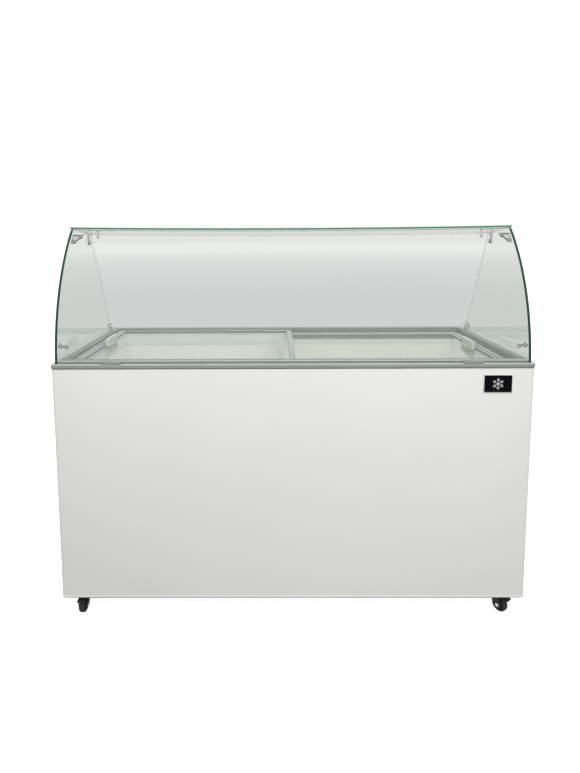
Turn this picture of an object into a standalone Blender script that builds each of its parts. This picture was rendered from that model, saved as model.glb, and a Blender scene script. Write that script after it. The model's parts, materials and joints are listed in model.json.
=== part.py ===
"""Chest freezer with a bent-glass canopy, two sliding glass lids and castors.

Metres, +Z up, front towards -Y. The origin is on the floor, under the middle of the cabinet.
"""
import math

import bmesh
import bpy
from mathutils import Matrix, Vector

GAP = 0.0003                # clearance between pieces that rest on each other

# cabinet
CAB_W = 1.512               # over the side sheets
CAB_D = 0.670               # front sheet to back sheet
CAB_BOTTOM = 0.070          # castor height
CAB_TOP = 0.835             # underside of the rim
SHEET = 0.001
CORNER_R = 0.012
RIM_OVER = 0.003            # rim stands proud of the sheets
FLOOR_Z = 0.071             # underside of the base sheets
BASE_T = 0.002

# liner and insulation
LINER_HX = 0.690            # inner half width
LINER_HY = 0.269            # inner half depth
LINER_T = 0.0015
LINER_FLOOR = 0.130
LINER_TOP = 0.8215
FOAM_TOP = 0.8315            # the insulation stands higher than the liner, round the collar
HUMP_X = 0.3632             # inner face of the step over the machine bay
HUMP_Z = 0.4518
BAY_X = 0.420               # left wall of the machine bay
BAY_TOP = 0.400
DRAIN = (-0.55, 0.18)
DRAIN_R = 0.010
RECESS_Z = (0.485, 0.800)   # band of the insulation that holds the evaporator tube
RECESS_DEEP = 0.0115
RISER = (0.600, 0.672)      # slot for the two tube risers
RISER_Y = 0.291
COIL_BEND = 0.006           # corner radius of the evaporator tube

# rim, collar and lids
RIM_W = 0.0455
COLLAR_STEP = (0.0120, 0.0230)
SKIRT = 0.0035
SKIRT_LOW = 0.790
TRACK_LOW = 0.824
TRACK_HIGH = 0.838
LID_H = 0.013
LID_STILE = 0.020
LID_GRIP_INNER = 0.678       # inner edge of the stile beside the grip
PANE_T = 0.004
POCKET = 0.0046
LEFT_LID = (-0.712, 0.0145)
RIGHT_LID = (-0.0425, 0.701)
LEFT_LID_HY = 0.2912
RIGHT_LID_HY = 0.2796
GRIP = (0.018, 0.112, 0.029)
GRIP_X = 0.664
GRIP_Y = 0.010

# canopy glass
GLASS_T = 0.006
GLASS_HX = 0.744
ARC_R = 0.6125              # outer radius of the bent front glass
ARC_Y = 0.2824
ARC_Z = 0.8257
ARC_FROM = 1.85
ARC_TO = 46.6
ARC_STEPS = 14
SHELF_FRONT = (-0.135, 1.279)
SHELF_LEN = 0.192
SHELF_TILT = math.radians(6.5)
SIDE_FOOT = 0.8455
SIDE_BACK = ((0.0525, 1.2497), (0.2605, 0.8640), (0.2605, 0.8455))

# castors
CASTOR_X = 0.698
CASTOR_Y = 0.280
WHEEL_R = 0.025
WHEEL_W = 0.021
WHEEL_STEPS = 24            # the tread stands on the flat between two of its edges
TRAIL = 0.020
AXLE_R = 0.004
PEDAL_PIVOT = (-0.014, 0.0545)
CASTORS = {
    "fl": (-1, -1, 0.0),
    "fr": (0.977, -1, 35.0),
    "rl": (-1, 1, 160.0),
    "rr": (0.977, 1, 197.0),
}

# machine bay
FAN_AXIS = (0.595, 0.195)
FAN_Y = 0.205
KNOB = (0.500, 0.342)
LAMP = (0.565, 0.342)
PANEL_X = (0.465, 0.725)
GRILLE_Z = (0.095, 0.283)
CONTROL_Z = (0.302, 0.382)
GLAND = (0.440, 0.120)


def clear_scene():
    for obj in list(bpy.data.objects):
        bpy.data.objects.remove(obj, do_unlink=True)


def material(name, colour, roughness, metallic=0.0, alpha=1.0):
    mat = bpy.data.materials.get(name) or bpy.data.materials.new(name)
    mat.use_nodes = True
    shader = mat.node_tree.nodes["Principled BSDF"]
    shader.inputs["Base Color"].default_value = (*colour, 1.0)
    shader.inputs["Roughness"].default_value = roughness
    shader.inputs["Metallic"].default_value = metallic
    shader.inputs["Alpha"].default_value = alpha
    mat.diffuse_color = (*colour, alpha)
    return mat


def white_paint(name):
    return material(name, (0.84, 0.84, 0.81), 0.35)


def grey_plastic(name):
    return material(name, (0.31, 0.32, 0.32), 0.45)


def pale_plastic(name):
    return material(name, (0.62, 0.63, 0.61), 0.4)


def clear_glass(name):
    return material(name, (0.72, 0.86, 0.80), 0.02, 0.0, 0.35)


def polished(name):
    return material(name, (0.75, 0.76, 0.77), 0.12, 1.0)


def zinc(name):
    return material(name, (0.55, 0.56, 0.57), 0.4, 0.9)


def black_plastic(name):
    return material(name, (0.02, 0.02, 0.022), 0.5)


def finish(name, bm, mat, origin=(0.0, 0.0, 0.0), sharp=30.0):
    """Make an object from a bmesh whose points are in world space, with its own origin."""
    bmesh.ops.recalc_face_normals(bm, faces=bm.faces[:])
    bmesh.ops.translate(bm, verts=bm.verts[:], vec=-Vector(origin))
    mesh = bpy.data.meshes.new(name)
    bm.to_mesh(mesh)
    bm.free()
    mesh.materials.append(mat)
    mesh.shade_smooth()
    mesh.set_sharp_from_angle(angle=math.radians(sharp))
    obj = bpy.data.objects.new(name, mesh)
    obj.location = origin
    bpy.context.scene.collection.objects.link(obj)
    return obj


def box_mesh(low, high):
    bm = bmesh.new()
    size = [b - a for a, b in zip(low, high)]
    centre = [(a + b) / 2 for a, b in zip(low, high)]
    place = Matrix.Translation(centre) @ Matrix.Diagonal((*size, 1.0))
    bmesh.ops.create_cube(bm, size=1.0, matrix=place)
    return bm


def box(name, low, high, mat, origin=(0.0, 0.0, 0.0)):
    return finish(name, box_mesh(low, high), mat, origin)


def prism_mesh(points, along, start, stop):
    """Extrude an outline: along x the points are (y, z), along y (x, z), along z (x, y)."""
    def place(a, b, c):
        return {"x": (c, a, b), "y": (a, c, b), "z": (a, b, c)}[along]

    bm = bmesh.new()
    face = bm.faces.new([bm.verts.new(place(a, b, start)) for a, b in points])
    grown = bmesh.ops.extrude_face_region(bm, geom=[face])
    moved = [v for v in grown["geom"] if isinstance(v, bmesh.types.BMVert)]
    shift = Vector(place(0.0, 0.0, stop)) - Vector(place(0.0, 0.0, start))
    bmesh.ops.translate(bm, verts=moved, vec=shift)
    return bm


def prism(name, points, along, start, stop, mat, origin=(0.0, 0.0, 0.0)):
    return finish(name, prism_mesh(points, along, start, stop), mat, origin)


def turned_mesh(profile, along, centre, steps):
    """Turn (radius, height) points about a line. A radius of 0 closes the shape at a pole."""
    turn = {
        "x": Matrix.Rotation(math.pi / 2, 4, "Y"),
        "y": Matrix.Rotation(-math.pi / 2, 4, "X"),
        "z": Matrix.Identity(4),
    }[along]
    bm = bmesh.new()
    loops = []
    for radius, height in profile:
        if radius == 0.0:
            loops.append([bm.verts.new((0.0, 0.0, height))] * steps)
            continue
        loop = []
        for i in range(steps):
            a = 2 * math.pi * (i + 0.5) / steps
            loop.append(bm.verts.new((radius * math.cos(a), radius * math.sin(a), height)))
        loops.append(loop)
    closed = profile[0][0] != 0.0
    pairs = list(zip(loops, loops[1:] + loops[:1])) if closed else list(zip(loops, loops[1:]))
    for low, high in pairs:
        for i in range(steps):
            j = (i + 1) % steps
            corners = []
            for v in (low[i], low[j], high[j], high[i]):
                if v not in corners:
                    corners.append(v)
            if len(corners) > 2:
                bm.faces.new(corners)
    bmesh.ops.transform(bm, matrix=Matrix.Translation(centre) @ turn, verts=bm.verts[:])
    return bm


def turned(name, profile, along, centre, steps, mat, origin=(0.0, 0.0, 0.0)):
    return finish(name, turned_mesh(profile, along, centre, steps), mat, origin, 40.0)


def rod_mesh(radius, along, centre, start, stop, steps=16):
    profile = [(0.0, start), (radius, start), (radius, stop), (0.0, stop)]
    return turned_mesh(profile, along, centre, steps)


def rounded_outline(hx, hy, radius, steps=4):
    """Corners of a rounded rectangle about the origin, anticlockwise from above."""
    out = []
    for cx, cy, first in ((1, 1, 0), (-1, 1, 90), (-1, -1, 180), (1, -1, 270)):
        for i in range(steps + 1):
            a = math.radians(first + 90.0 * i / steps)
            x = cx * (hx - radius) + radius * math.cos(a)
            y = cy * (hy - radius) + radius * math.sin(a)
            out.append((x, y))
    return out


def ring(name, profile, hx, hy, mat, steps=4):
    """Sweep a closed (inset, height, corner radius) profile round a rectangle."""
    bm = bmesh.new()
    loops = []
    for inset, z, radius in profile:
        loop = rounded_outline(hx - inset, hy - inset, radius, steps)
        loops.append([bm.verts.new((x, y, z)) for x, y in loop])
    count = len(loops[0])
    for low, high in zip(loops, loops[1:] + loops[:1]):
        for i in range(count):
            j = (i + 1) % count
            bm.faces.new((low[i], low[j], high[j], high[i]))
    return finish(name, bm, mat)


def tube(name, points, radius, mat, sides=2):
    curve = bpy.data.curves.new(name, "CURVE")
    curve.dimensions = "3D"
    curve.bevel_depth = radius
    curve.bevel_resolution = sides
    curve.use_fill_caps = True
    spline = curve.splines.new("POLY")
    spline.points.add(len(points) - 1)
    for point, place in zip(spline.points, points):
        point.co = (*place, 1.0)
    curve.materials.append(mat)
    obj = bpy.data.objects.new(name, curve)
    bpy.context.scene.collection.objects.link(obj)
    return obj


def boolean(target, bm, operation):
    """Add a boolean of a hidden helper body to the target."""
    label = f"{operation.lower()}_{target.name}_{len(target.modifiers)}"
    helper = finish(label, bm, target.data.materials[0])
    helper.hide_render = True
    helper.display_type = "WIRE"
    modifier = target.modifiers.new(operation.title(), "BOOLEAN")
    modifier.operation = operation
    modifier.solver = "EXACT"
    modifier.object = helper
    return helper


def cut(target, bm):
    return boolean(target, bm, "DIFFERENCE")


def add(target, bm):
    return boolean(target, bm, "UNION")


def bevel(obj, width, segments=2, angle=40.0):
    modifier = obj.modifiers.new("Bevel", "BEVEL")
    modifier.width = width
    modifier.segments = segments
    modifier.limit_method = "ANGLE"
    modifier.angle_limit = math.radians(angle)


def merged(parts):
    """Put several separate bodies in one bmesh, for a cutter with many teeth."""
    out = bmesh.new()
    for part in parts:
        mesh = bpy.data.meshes.new("part")
        part.to_mesh(mesh)
        part.free()
        out.from_mesh(mesh)
        bpy.data.meshes.remove(mesh)
    return out


# cabinet ---------------------------------------------------------------------

def make_outer_shell():
    hx = CAB_W / 2
    hy = CAB_D / 2
    outer = [p for p in rounded_outline(hx, hy, CORNER_R, 6) if p[1] < 0]
    inner = [p for p in rounded_outline(hx - SHEET, hy - SHEET, CORNER_R - SHEET, 6) if p[1] < 0]
    back = hy - 0.0015
    outline = [(-hx, back), *outer, (hx, back), (hx - SHEET, back), *reversed(inner), (-hx + SHEET, back)]
    prism("outer_shell", outline, "z", CAB_BOTTOM, CAB_TOP - GAP, white_paint("outer_shell"))


def make_back_panel():
    hx = CAB_W / 2
    back = CAB_D / 2
    panel = box("back_panel", (-hx, back - 0.0012, CAB_BOTTOM), (hx, back, CAB_TOP - GAP), white_paint("back_panel"))
    for low, high in (GRILLE_Z, CONTROL_Z):
        cut(panel, box_mesh((PANEL_X[0], back - 0.01, low), (PANEL_X[1], back + 0.01, high)))
    cut(panel, rod_mesh(0.0090, "y", (GLAND[0], back, GLAND[1]), -0.01, 0.01))


def stepped_outline(grow, top):
    """Side view of the liner well, with its step over the machine bay."""
    left = -LINER_HX - grow
    right = LINER_HX + grow
    return [
        (left, LINER_FLOOR - grow), (HUMP_X + grow, LINER_FLOOR - grow), (HUMP_X + grow, HUMP_Z - grow),
        (right, HUMP_Z - grow), (right, top), (left, top),
    ]


def make_inner_liner():
    reach = LINER_HY + LINER_T
    liner = prism("inner_liner", stepped_outline(LINER_T, LINER_TOP), "y", -reach, reach,
                  material("inner_liner", (0.66, 0.67, 0.60), 0.35))
    cut(liner, prism_mesh(stepped_outline(0.0, LINER_TOP + 0.02), "y", -LINER_HY, LINER_HY))
    cut(liner, rod_mesh(DRAIN_R + 0.0004, "z", (*DRAIN, LINER_FLOOR), -0.02, 0.02))


def make_foam():
    hx = CAB_W / 2 - SHEET - 0.0005
    hy = CAB_D / 2 - SHEET - 0.0005
    low = FLOOR_Z + BASE_T + GAP
    mat = material("foam_insulation", (0.78, 0.70, 0.42), 0.9)
    foam = prism("foam_insulation", rounded_outline(hx, hy, CORNER_R, 3), "z", low, FOAM_TOP, mat)
    grow = LINER_T + GAP
    reach = LINER_HY + grow
    cut(foam, prism_mesh(stepped_outline(grow, LINER_TOP + 0.02), "y", -reach, reach))
    seat = COLLAR_STEP[1] + GAP
    cut(foam, box_mesh((-LINER_HX - seat, -LINER_HY - seat, LINER_TOP), (LINER_HX + seat, LINER_HY + seat, 0.9)))
    cut(foam, box_mesh((BAY_X, -0.4, 0.0), (0.8, 0.4, BAY_TOP)))
    deep = LINER_T + RECESS_DEEP
    cut(foam, box_mesh((-LINER_HX - deep, -LINER_HY - deep, RECESS_Z[0]), (LINER_HX + deep, LINER_HY + deep, RECESS_Z[1])))
    cut(foam, box_mesh((RISER[0], LINER_HY, BAY_TOP - 0.01), (RISER[1], RISER_Y, RECESS_Z[1])))
    cut(foam, rod_mesh(DRAIN_R + 0.0004, "z", (*DRAIN, LINER_FLOOR), -0.2, 0.02))


def chamfered(x0, x1, y0, y1, left, right):
    """A plate's outline, with its front corners cut to clear the bent sheet."""
    c = CORNER_R
    out = [(x1, y1), (x0, y1)]
    out += [(x0, y0 + c), (x0 + c, y0)] if left else [(x0, y0)]
    out += [(x1 - c, y0), (x1, y0 + c)] if right else [(x1, y0)]
    return out


def make_base():
    edge = CAB_W / 2 - SHEET - 0.0005
    depth = CAB_D / 2 - SHEET - 0.0005
    pan = prism("base_pan", chamfered(-edge, BAY_X - 0.0015, -depth, depth - 0.0005, True, False), "z",
                FLOOR_Z, FLOOR_Z + BASE_T, zinc("base_pan"))
    cut(pan, rod_mesh(DRAIN_R + 0.0004, "z", (*DRAIN, FLOOR_Z), -0.02, 0.02))
    tray = prism("compressor_tray", chamfered(BAY_X - 0.0005, edge, -depth, depth - 0.0005, False, True), "z",
                 FLOOR_Z, FLOOR_Z + BASE_T, zinc("compressor_tray"))
    for y in (-0.24, 0.07):
        add(tray, box_mesh((0.45, y, FLOOR_Z + 0.001), (0.73, y + 0.012, FLOOR_Z + 0.010)))


def make_rim():
    top = CAB_TOP
    channel = top + 0.0095
    profile = [
        (0.0022, top + 0.0002, 0.012), (0.0003, top + 0.003, 0.014), (0.0, top + 0.008, 0.014),
        (0.0007, top + 0.0122, 0.0135), (0.0027, top + 0.015, 0.012), (0.0050, top + 0.016, 0.010),
        (0.0158, top + 0.016, 0.003), (0.0158, top + 0.022, 0.003), (0.0175, top + 0.0235, 0.003), (0.0430, top + 0.024, 0.003),
        (RIM_W, top + 0.0225, 0.003), (RIM_W, top + 0.0002, 0.003),
    ]
    rim = ring("top_rim", profile, CAB_W / 2 + RIM_OVER, CAB_D / 2 + RIM_OVER, grey_plastic("top_rim"))
    front = -CAB_D / 2 - RIM_OVER + 0.0072
    outer = GLASS_HX + 0.0007
    inner = GLASS_HX - GLASS_T - 0.0007
    cut(rim, box_mesh((-outer, front, channel), (outer, front + 0.0086, top + 0.05)))
    for sign in (-1, 1):
        low, high = between(sign, inner, outer)
        cut(rim, box_mesh((low, front + 0.0040, channel), (high, SIDE_BACK[1][0] + 0.0007, top + 0.05)))


def make_collar():
    step, reach = COLLAR_STEP
    ledge = LINER_TOP + 0.0005
    profile = [
        (-reach, ledge, 0.003), (-reach, TRACK_HIGH, 0.003), (-step, TRACK_HIGH, 0.002), (-step, TRACK_LOW, 0.002),
        (SKIRT, TRACK_LOW, 0.003), (SKIRT, SKIRT_LOW, 0.003), (0.0005, SKIRT_LOW, 0.003), (0.0005, ledge, 0.003),
    ]
    ring("lid_collar", profile, LINER_HX, LINER_HY, pale_plastic("lid_collar"), 2)


def make_badge():
    front = -CAB_D / 2 - GAP
    plate = box("badge_plate", (0.597, front - 0.002, 0.758), (0.685, front, 0.814), black_plastic("badge_plate"))
    bevel(plate, 0.0006, 1)


def make_drain():
    x, y = DRAIN
    r = DRAIN_R
    pipe = [(r, 0.0640), (r, LINER_FLOOR), (r - 0.0025, LINER_FLOOR), (r - 0.0025, 0.0640)]
    turned("drain_pipe", pipe, "z", (x, y, 0.0), 20, black_plastic("drain_pipe"))
    seat = LINER_FLOOR + GAP
    plug = [
        (0.0, seat - 0.014), (0.0055, seat - 0.014), (0.0069, seat), (0.014, seat), (0.014, seat + 0.0022),
        (0.004, seat + 0.003), (0.004, seat + 0.008), (0.006, seat + 0.010), (0.0, seat + 0.011),
    ]
    turned("drain_plug", plug, "z", (x, y, 0.0), 20, material("drain_plug", (0.12, 0.12, 0.13), 0.6), (x, y, seat))


# lids ------------------------------------------------------------------------

def make_lid(side, span, half_depth, base, grip_left):
    low, high = span
    top = base + LID_H
    inner = (-LID_GRIP_INNER, high - LID_STILE) if grip_left else (low + LID_STILE, LID_GRIP_INNER)
    reach = half_depth - LID_STILE
    frame = box(f"{side}_lid_frame", (low, -half_depth, base), (high, half_depth, top),
                pale_plastic(f"{side}_lid_frame"))
    cut(frame, box_mesh((inner[0], -reach, base - 0.01), (inner[1], reach, top + 0.01)))
    pane = base + 0.0055
    slot = POCKET
    cut(frame, box_mesh((inner[0] - slot, -reach - slot, pane - GAP), (inner[1] + slot, reach + slot, pane + PANE_T + GAP)))
    grow = POCKET - 0.0006
    box(f"{side}_lid_glass", (inner[0] - grow, -reach - grow, pane), (inner[1] + grow, reach + grow, pane + PANE_T),
        clear_glass(f"{side}_lid_glass"))
    make_grip(side, -GRIP_X if grip_left else GRIP_X, pane + PANE_T + GAP)


def make_grip(side, x, z):
    width, length, height = GRIP
    lean = 0.003
    outline = [(x - width / 2, z), (x + width / 2, z), (x + width / 2 - lean, z + height), (x - width / 2 + lean, z + height)]
    grip = prism(f"{side}_lid_handle", outline, "y", GRIP_Y - length / 2, GRIP_Y + length / 2,
                 material(f"{side}_lid_handle", (0.72, 0.73, 0.71), 0.4))
    bevel(grip, 0.004, 2)


# canopy ----------------------------------------------------------------------

def arc_point(degrees, depth=0.0):
    """A point (y, z) on the bent glass, this far inside its outer face."""
    a = math.radians(degrees)
    r = ARC_R - depth
    return ARC_Y - r * math.cos(a), ARC_Z + r * math.sin(a)


def arc(start, stop, depth, steps):
    return [arc_point(start + (stop - start) * i / steps, depth) for i in range(steps + 1)]


def shelf_point(back, down):
    """A point (y, z) in the tilted frame of the top glass."""
    y, z = SHELF_FRONT
    c = math.cos(SHELF_TILT)
    s = math.sin(SHELF_TILT)
    return y + back * c - down * s, z - back * s - down * c


def make_front_glass():
    outline = arc(ARC_FROM, ARC_TO, 0.0, ARC_STEPS) + arc(ARC_TO, ARC_FROM, GLASS_T, ARC_STEPS)
    prism("front_glass", outline, "x", -GLASS_HX, GLASS_HX, clear_glass("front_glass"))


def make_top_glass():
    outline = [shelf_point(0.0, 0.0), shelf_point(SHELF_LEN, 0.0), shelf_point(SHELF_LEN, GLASS_T), shelf_point(0.0, GLASS_T)]
    prism("top_glass", outline, "x", -GLASS_HX, GLASS_HX, clear_glass("top_glass"))


def make_side_glass(side, sign):
    edge = GLASS_T + 0.0008
    foot = math.degrees(math.asin((SIDE_FOOT - ARC_Z) / (ARC_R - edge)))
    front = arc(foot, ARC_TO - 0.2, edge, ARC_STEPS)
    outline = [*front, shelf_point(0.006, GLASS_T + 0.0006), *SIDE_BACK]
    a = sign * GLASS_HX
    b = sign * (GLASS_HX - GLASS_T)
    prism(f"{side}_side_glass", outline, "x", min(a, b), max(a, b), clear_glass(f"{side}_side_glass"))


def between(sign, near, far):
    """Two x values, in order, for a piece that is mirrored to the left."""
    return tuple(sorted((sign * near, sign * far)))


def span_box(sign, near, far, y0, y1, z0, z1):
    low, high = between(sign, near, far)
    return box_mesh((low, y0, z0), (high, y1, z1))


def make_top_bracket(side, sign):
    """Arm under the shelf, clamp on the bent glass, leg on the side glass and a screw in the shelf."""
    wall = GLASS_HX - GLASS_T - 0.0006
    under = GLASS_T + GAP
    arm = [shelf_point(b, d) for b, d in ((0.003, under), (0.174, under), (0.174, under + 0.004), (0.003, under + 0.004))]
    low, high = between(sign, wall - 0.012, wall)
    bracket = prism(f"top_bracket_{side}", arm, "x", low, high, polished(f"top_bracket_{side}"))
    cross = [shelf_point(b, d) for b, d in ((0.153, under + 0.0004), (0.173, under + 0.0004), (0.173, under + 0.0034), (0.153, under + 0.0034))]
    low, high = between(sign, wall - 0.042, wall - 0.006)
    add(bracket, prism_mesh(cross, "x", low, high))
    add(bracket, span_box(sign, wall - 0.0040, wall - 0.0003, 0.014, 0.0360, 1.207, 1.2525))
    low, high = between(sign, wall - 0.013, wall - 0.0025)
    add(bracket, rod_mesh(0.0055, "x", (0.0, 0.0255, 1.2155), low, high, 12))
    add(bracket, rod_mesh(0.0055, "z", (sign * (wall - 0.033), 0.026, 0.0), 1.236, 1.2527, 12))
    clamp = [arc_point(46.6, 0.007), arc_point(41.0, 0.007), arc_point(41.0, 0.015), arc_point(45.0, 0.017),
             (-0.1240, 1.2695), (-0.1325, 1.2700)]
    low, high = between(sign, wall - 0.034, wall - 0.0005)
    add(bracket, prism_mesh(clamp, "x", low, high))
    for inset, z, y in ((0.009, 1.2290, -0.1555), (0.026, 1.2370, -0.1480)):
        add(bracket, rod_mesh(0.0050, "y", (sign * (wall - inset), 0.0, z), y - 0.008, y + 0.004, 12))


def make_front_clip(side, sign):
    wall = GLASS_HX - GLASS_T - 0.0006
    face = arc_point(8.3, GLASS_T)[0] + 0.0012
    clip = finish(f"front_clip_{side}", span_box(sign, wall - 0.0035, wall, face, face + 0.030, 0.8985, 0.9075),
                  polished(f"front_clip_{side}"))
    add(clip, span_box(sign, wall - 0.028, wall, face, face + 0.0035, 0.8980, 0.9080))
    low, high = between(sign, wall - 0.0055, wall)
    add(clip, rod_mesh(0.0085, "x", (0.0, face + 0.026, 0.903), low, high, 16))
    add(clip, rod_mesh(0.0085, "y", (sign * (wall - 0.026), 0.0, 0.903), face, face + 0.0055, 16))


def make_rear_clip(side, sign):
    wall = GLASS_HX - GLASS_T - 0.0006
    foot = CAB_TOP + 0.024 + GAP
    clip = finish(f"rear_clip_{side}", span_box(sign, wall - 0.024, wall, 0.224, 0.258, foot, foot + 0.003),
                  polished(f"rear_clip_{side}"))
    add(clip, span_box(sign, wall - 0.005, wall, 0.224, 0.258, foot + 0.001, foot + 0.026))
    low, high = between(sign, wall - 0.013, wall - 0.003)
    add(clip, rod_mesh(0.0065, "x", (0.0, 0.241, foot + 0.016), low, high, 12))


def make_glass_clamp(side, sign):
    x = sign * 0.565
    low = CAB_TOP + 0.016 + GAP
    outline = [(x - 0.032, low), (x + 0.032, low), (x + 0.027, low + 0.0065), (x - 0.027, low + 0.0065)]
    front = -CAB_D / 2 - RIM_OVER + 0.0010
    clamp = prism(f"glass_clamp_{side}", outline, "y", front, front + 0.0068, grey_plastic(f"glass_clamp_{side}"))
    bevel(clamp, 0.001, 2)


# castors ---------------------------------------------------------------------

def turn_to_place(bm, key):
    """Turn a castor's mesh about its swivel line and move it under its corner."""
    sx, sy, degrees = CASTORS[key]
    place = Matrix.Translation((sx * CASTOR_X, sy * CASTOR_Y, 0.0)) @ Matrix.Rotation(math.radians(degrees), 4, "Z")
    bmesh.ops.transform(bm, matrix=place, verts=bm.verts[:])
    return bm


def swivel_point(key):
    sx, sy, _ = CASTORS[key]
    return sx * CASTOR_X, sy * CASTOR_Y, 0.0


def local_point(key, y, z):
    sx, sy, degrees = CASTORS[key]
    a = math.radians(degrees)
    return sx * CASTOR_X - y * math.sin(a), sy * CASTOR_Y + y * math.cos(a), z


def make_castor_plate(key):
    x, y, _ = swivel_point(key)
    plate = box(f"caster_plate_{key}", (x - 0.030, y - 0.030, 0.0668), (x + 0.030, y + 0.030, FLOOR_Z - GAP),
                black_plastic(f"caster_plate_{key}"))
    add(plate, rod_mesh(0.020, "z", (x, y, 0.0), 0.0628, 0.0680, 20))


def make_castor_fork(key):
    steel = black_plastic(f"caster_fork_{key}")
    centre = swivel_point(key)
    cheek = [(-0.028, 0.017), (-0.012, 0.017), (0.014, 0.054), (0.014, 0.0605), (-0.016, 0.0605), (-0.030, 0.030)]
    fork = finish(f"caster_fork_{key}", turn_to_place(rod_mesh(0.0185, "z", (0.0, 0.0, 0.0), 0.0590, 0.0625, 20), key),
                  steel, centre)
    for sign in (-1, 1):
        low, high = between(sign, 0.0125, 0.0150)
        add(fork, turn_to_place(prism_mesh(cheek, "x", low, high), key))
    cut(fork, turn_to_place(rod_mesh(AXLE_R + GAP, "x", (0.0, -TRAIL, WHEEL_R), -0.03, 0.03, 12), key))


def make_castor_axle(key):
    r = AXLE_R
    profile = [(0.0, -0.0178), (0.0062, -0.0178), (0.0062, -0.0154), (r, -0.0154), (r, 0.0154),
               (0.0062, 0.0154), (0.0062, 0.0178), (0.0, 0.0178)]
    bm = turned_mesh(profile, "x", (0.0, -TRAIL, WHEEL_R), 12)
    finish(f"caster_axle_{key}", turn_to_place(bm, key), zinc(f"caster_axle_{key}"), local_point(key, -TRAIL, WHEEL_R))


def make_castor_wheel(key):
    half = WHEEL_W / 2
    r = WHEEL_R / math.cos(math.pi / WHEEL_STEPS)
    bore = AXLE_R + GAP
    profile = [(bore, -half - 0.001), (0.009, -half - 0.001), (0.009, -half + 0.003), (r - 0.007, -half + 0.003),
               (r - 0.006, -half), (r - 0.0025, -half), (r, -half + 0.003), (r, half - 0.003), (r - 0.0025, half),
               (r - 0.006, half), (r - 0.007, half - 0.003), (0.009, half - 0.003), (0.009, half + 0.001),
               (bore, half + 0.001)]
    bm = turned_mesh(profile, "x", (0.0, -TRAIL, WHEEL_R), WHEEL_STEPS)
    finish(f"caster_wheel_{key}", turn_to_place(bm, key), black_plastic(f"caster_wheel_{key}"),
           local_point(key, -TRAIL, WHEEL_R), 40.0)


def make_brake_pedal(key):
    y, z = PEDAL_PIVOT
    outline = [(y + 0.004, z - 0.0015), (y + 0.004, z + 0.0015), (y - 0.030, z + 0.0015), (y - 0.040, z - 0.0005),
               (y - 0.040, z - 0.0035), (y - 0.030, z - 0.0015)]
    bm = prism_mesh(outline, "x", -0.0112, 0.0112)
    pedal = finish(f"brake_pedal_{key}", turn_to_place(bm, key), black_plastic(f"brake_pedal_{key}"),
                   local_point(key, y, z))
    bevel(pedal, 0.0004, 1)


def make_castors():
    for key in CASTORS:
        make_castor_plate(key)
        make_castor_fork(key)
        make_castor_axle(key)
        make_castor_wheel(key)
    for key in ("fl", "fr"):
        make_brake_pedal(key)


# machine bay and back --------------------------------------------------------

def make_compressor():
    foot = FLOOR_Z + 0.010 + GAP
    profile = [(0.0, foot + 0.004), (0.050, foot + 0.006), (0.072, foot + 0.020), (0.080, foot + 0.045),
               (0.081, foot + 0.075), (0.079, foot + 0.110), (0.070, foot + 0.138), (0.048, foot + 0.156),
               (0.020, foot + 0.163), (0.0, foot + 0.164)]
    can = turned("compressor", profile, "z", (0.590, -0.085, 0.0), 24, material("compressor", (0.02, 0.02, 0.02), 0.45))
    add(can, box_mesh((0.500, -0.155, foot), (0.680, -0.015, foot + 0.008)))
    add(can, box_mesh((0.655, -0.110, foot + 0.050), (0.690, -0.060, foot + 0.110)))


def make_condenser():
    runs = 9
    left, right = 0.470, 0.715
    low, high = 0.095, 0.300
    y = 0.150
    pitch = (high - low) / (runs - 1)
    bend = pitch / 2
    points = []
    for i in range(runs):
        z = low + pitch * i
        ends = (left + bend, right - bend) if i % 2 == 0 else (right - bend, left + bend)
        points += [(ends[0], y, z), (ends[1], y, z)]
        if i < runs - 1:
            out = 1 if i % 2 == 0 else -1
            for k in range(1, 4):
                a = math.pi * k / 4
                points.append((ends[1] + out * bend * math.sin(a), y, z + bend * (1 - math.cos(a))))
    tube("condenser_coil", points, 0.004, material("condenser_coil", (0.03, 0.03, 0.03), 0.4, 0.6))


def make_fan():
    x, z = FAN_AXIS
    bracket = box("fan_bracket", (0.462, FAN_Y, 0.078), (0.728, FAN_Y + 0.0015, 0.328), zinc("fan_bracket"))
    cut(bracket, rod_mesh(0.086, "y", (x, FAN_Y, z), -0.01, 0.01, 32))
    for sign in (-1, 1):
        low, high = sorted((x + sign * 0.0935, x + sign * 0.0960))
        add(bracket, box_mesh((low, FAN_Y + 0.001, z - 0.010), (high, FAN_Y + 0.0265, z + 0.010)))
    add(bracket, box_mesh((x - 0.0960, FAN_Y + 0.0245, z - 0.010), (x + 0.0960, FAN_Y + 0.0265, z + 0.010)))
    cut(bracket, rod_mesh(0.0050, "y", (x, FAN_Y, z), 0.015, 0.040, 12))
    y = FAN_Y
    motor = [(0.0, 0.004), (0.003, 0.004), (0.003, 0.0270), (0.026, 0.0270), (0.028, 0.030), (0.028, 0.052),
             (0.024, 0.058), (0.0, 0.058)]
    turned("fan_motor", motor, "y", (x, y, z), 20, material("fan_motor", (0.05, 0.05, 0.055), 0.5))
    hub = [(0.0034, 0.002), (0.016, 0.002), (0.018, 0.005), (0.018, 0.020), (0.0034, 0.020)]
    blade = turned("fan_blade", hub, "y", (x, y, z), 20, material("fan_blade", (0.35, 0.36, 0.37), 0.4, 0.7), (x, y, z))
    for i in range(5):
        wing = box_mesh((-0.019, -0.0007, 0.016), (0.019, 0.0007, 0.080))
        place = Matrix.Translation((x, y + 0.011, z)) @ Matrix.Rotation(2 * math.pi * i / 5, 4, "Y")
        bmesh.ops.transform(wing, matrix=place @ Matrix.Rotation(math.radians(24), 4, "Z"), verts=wing.verts[:])
        add(blade, wing)


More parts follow.
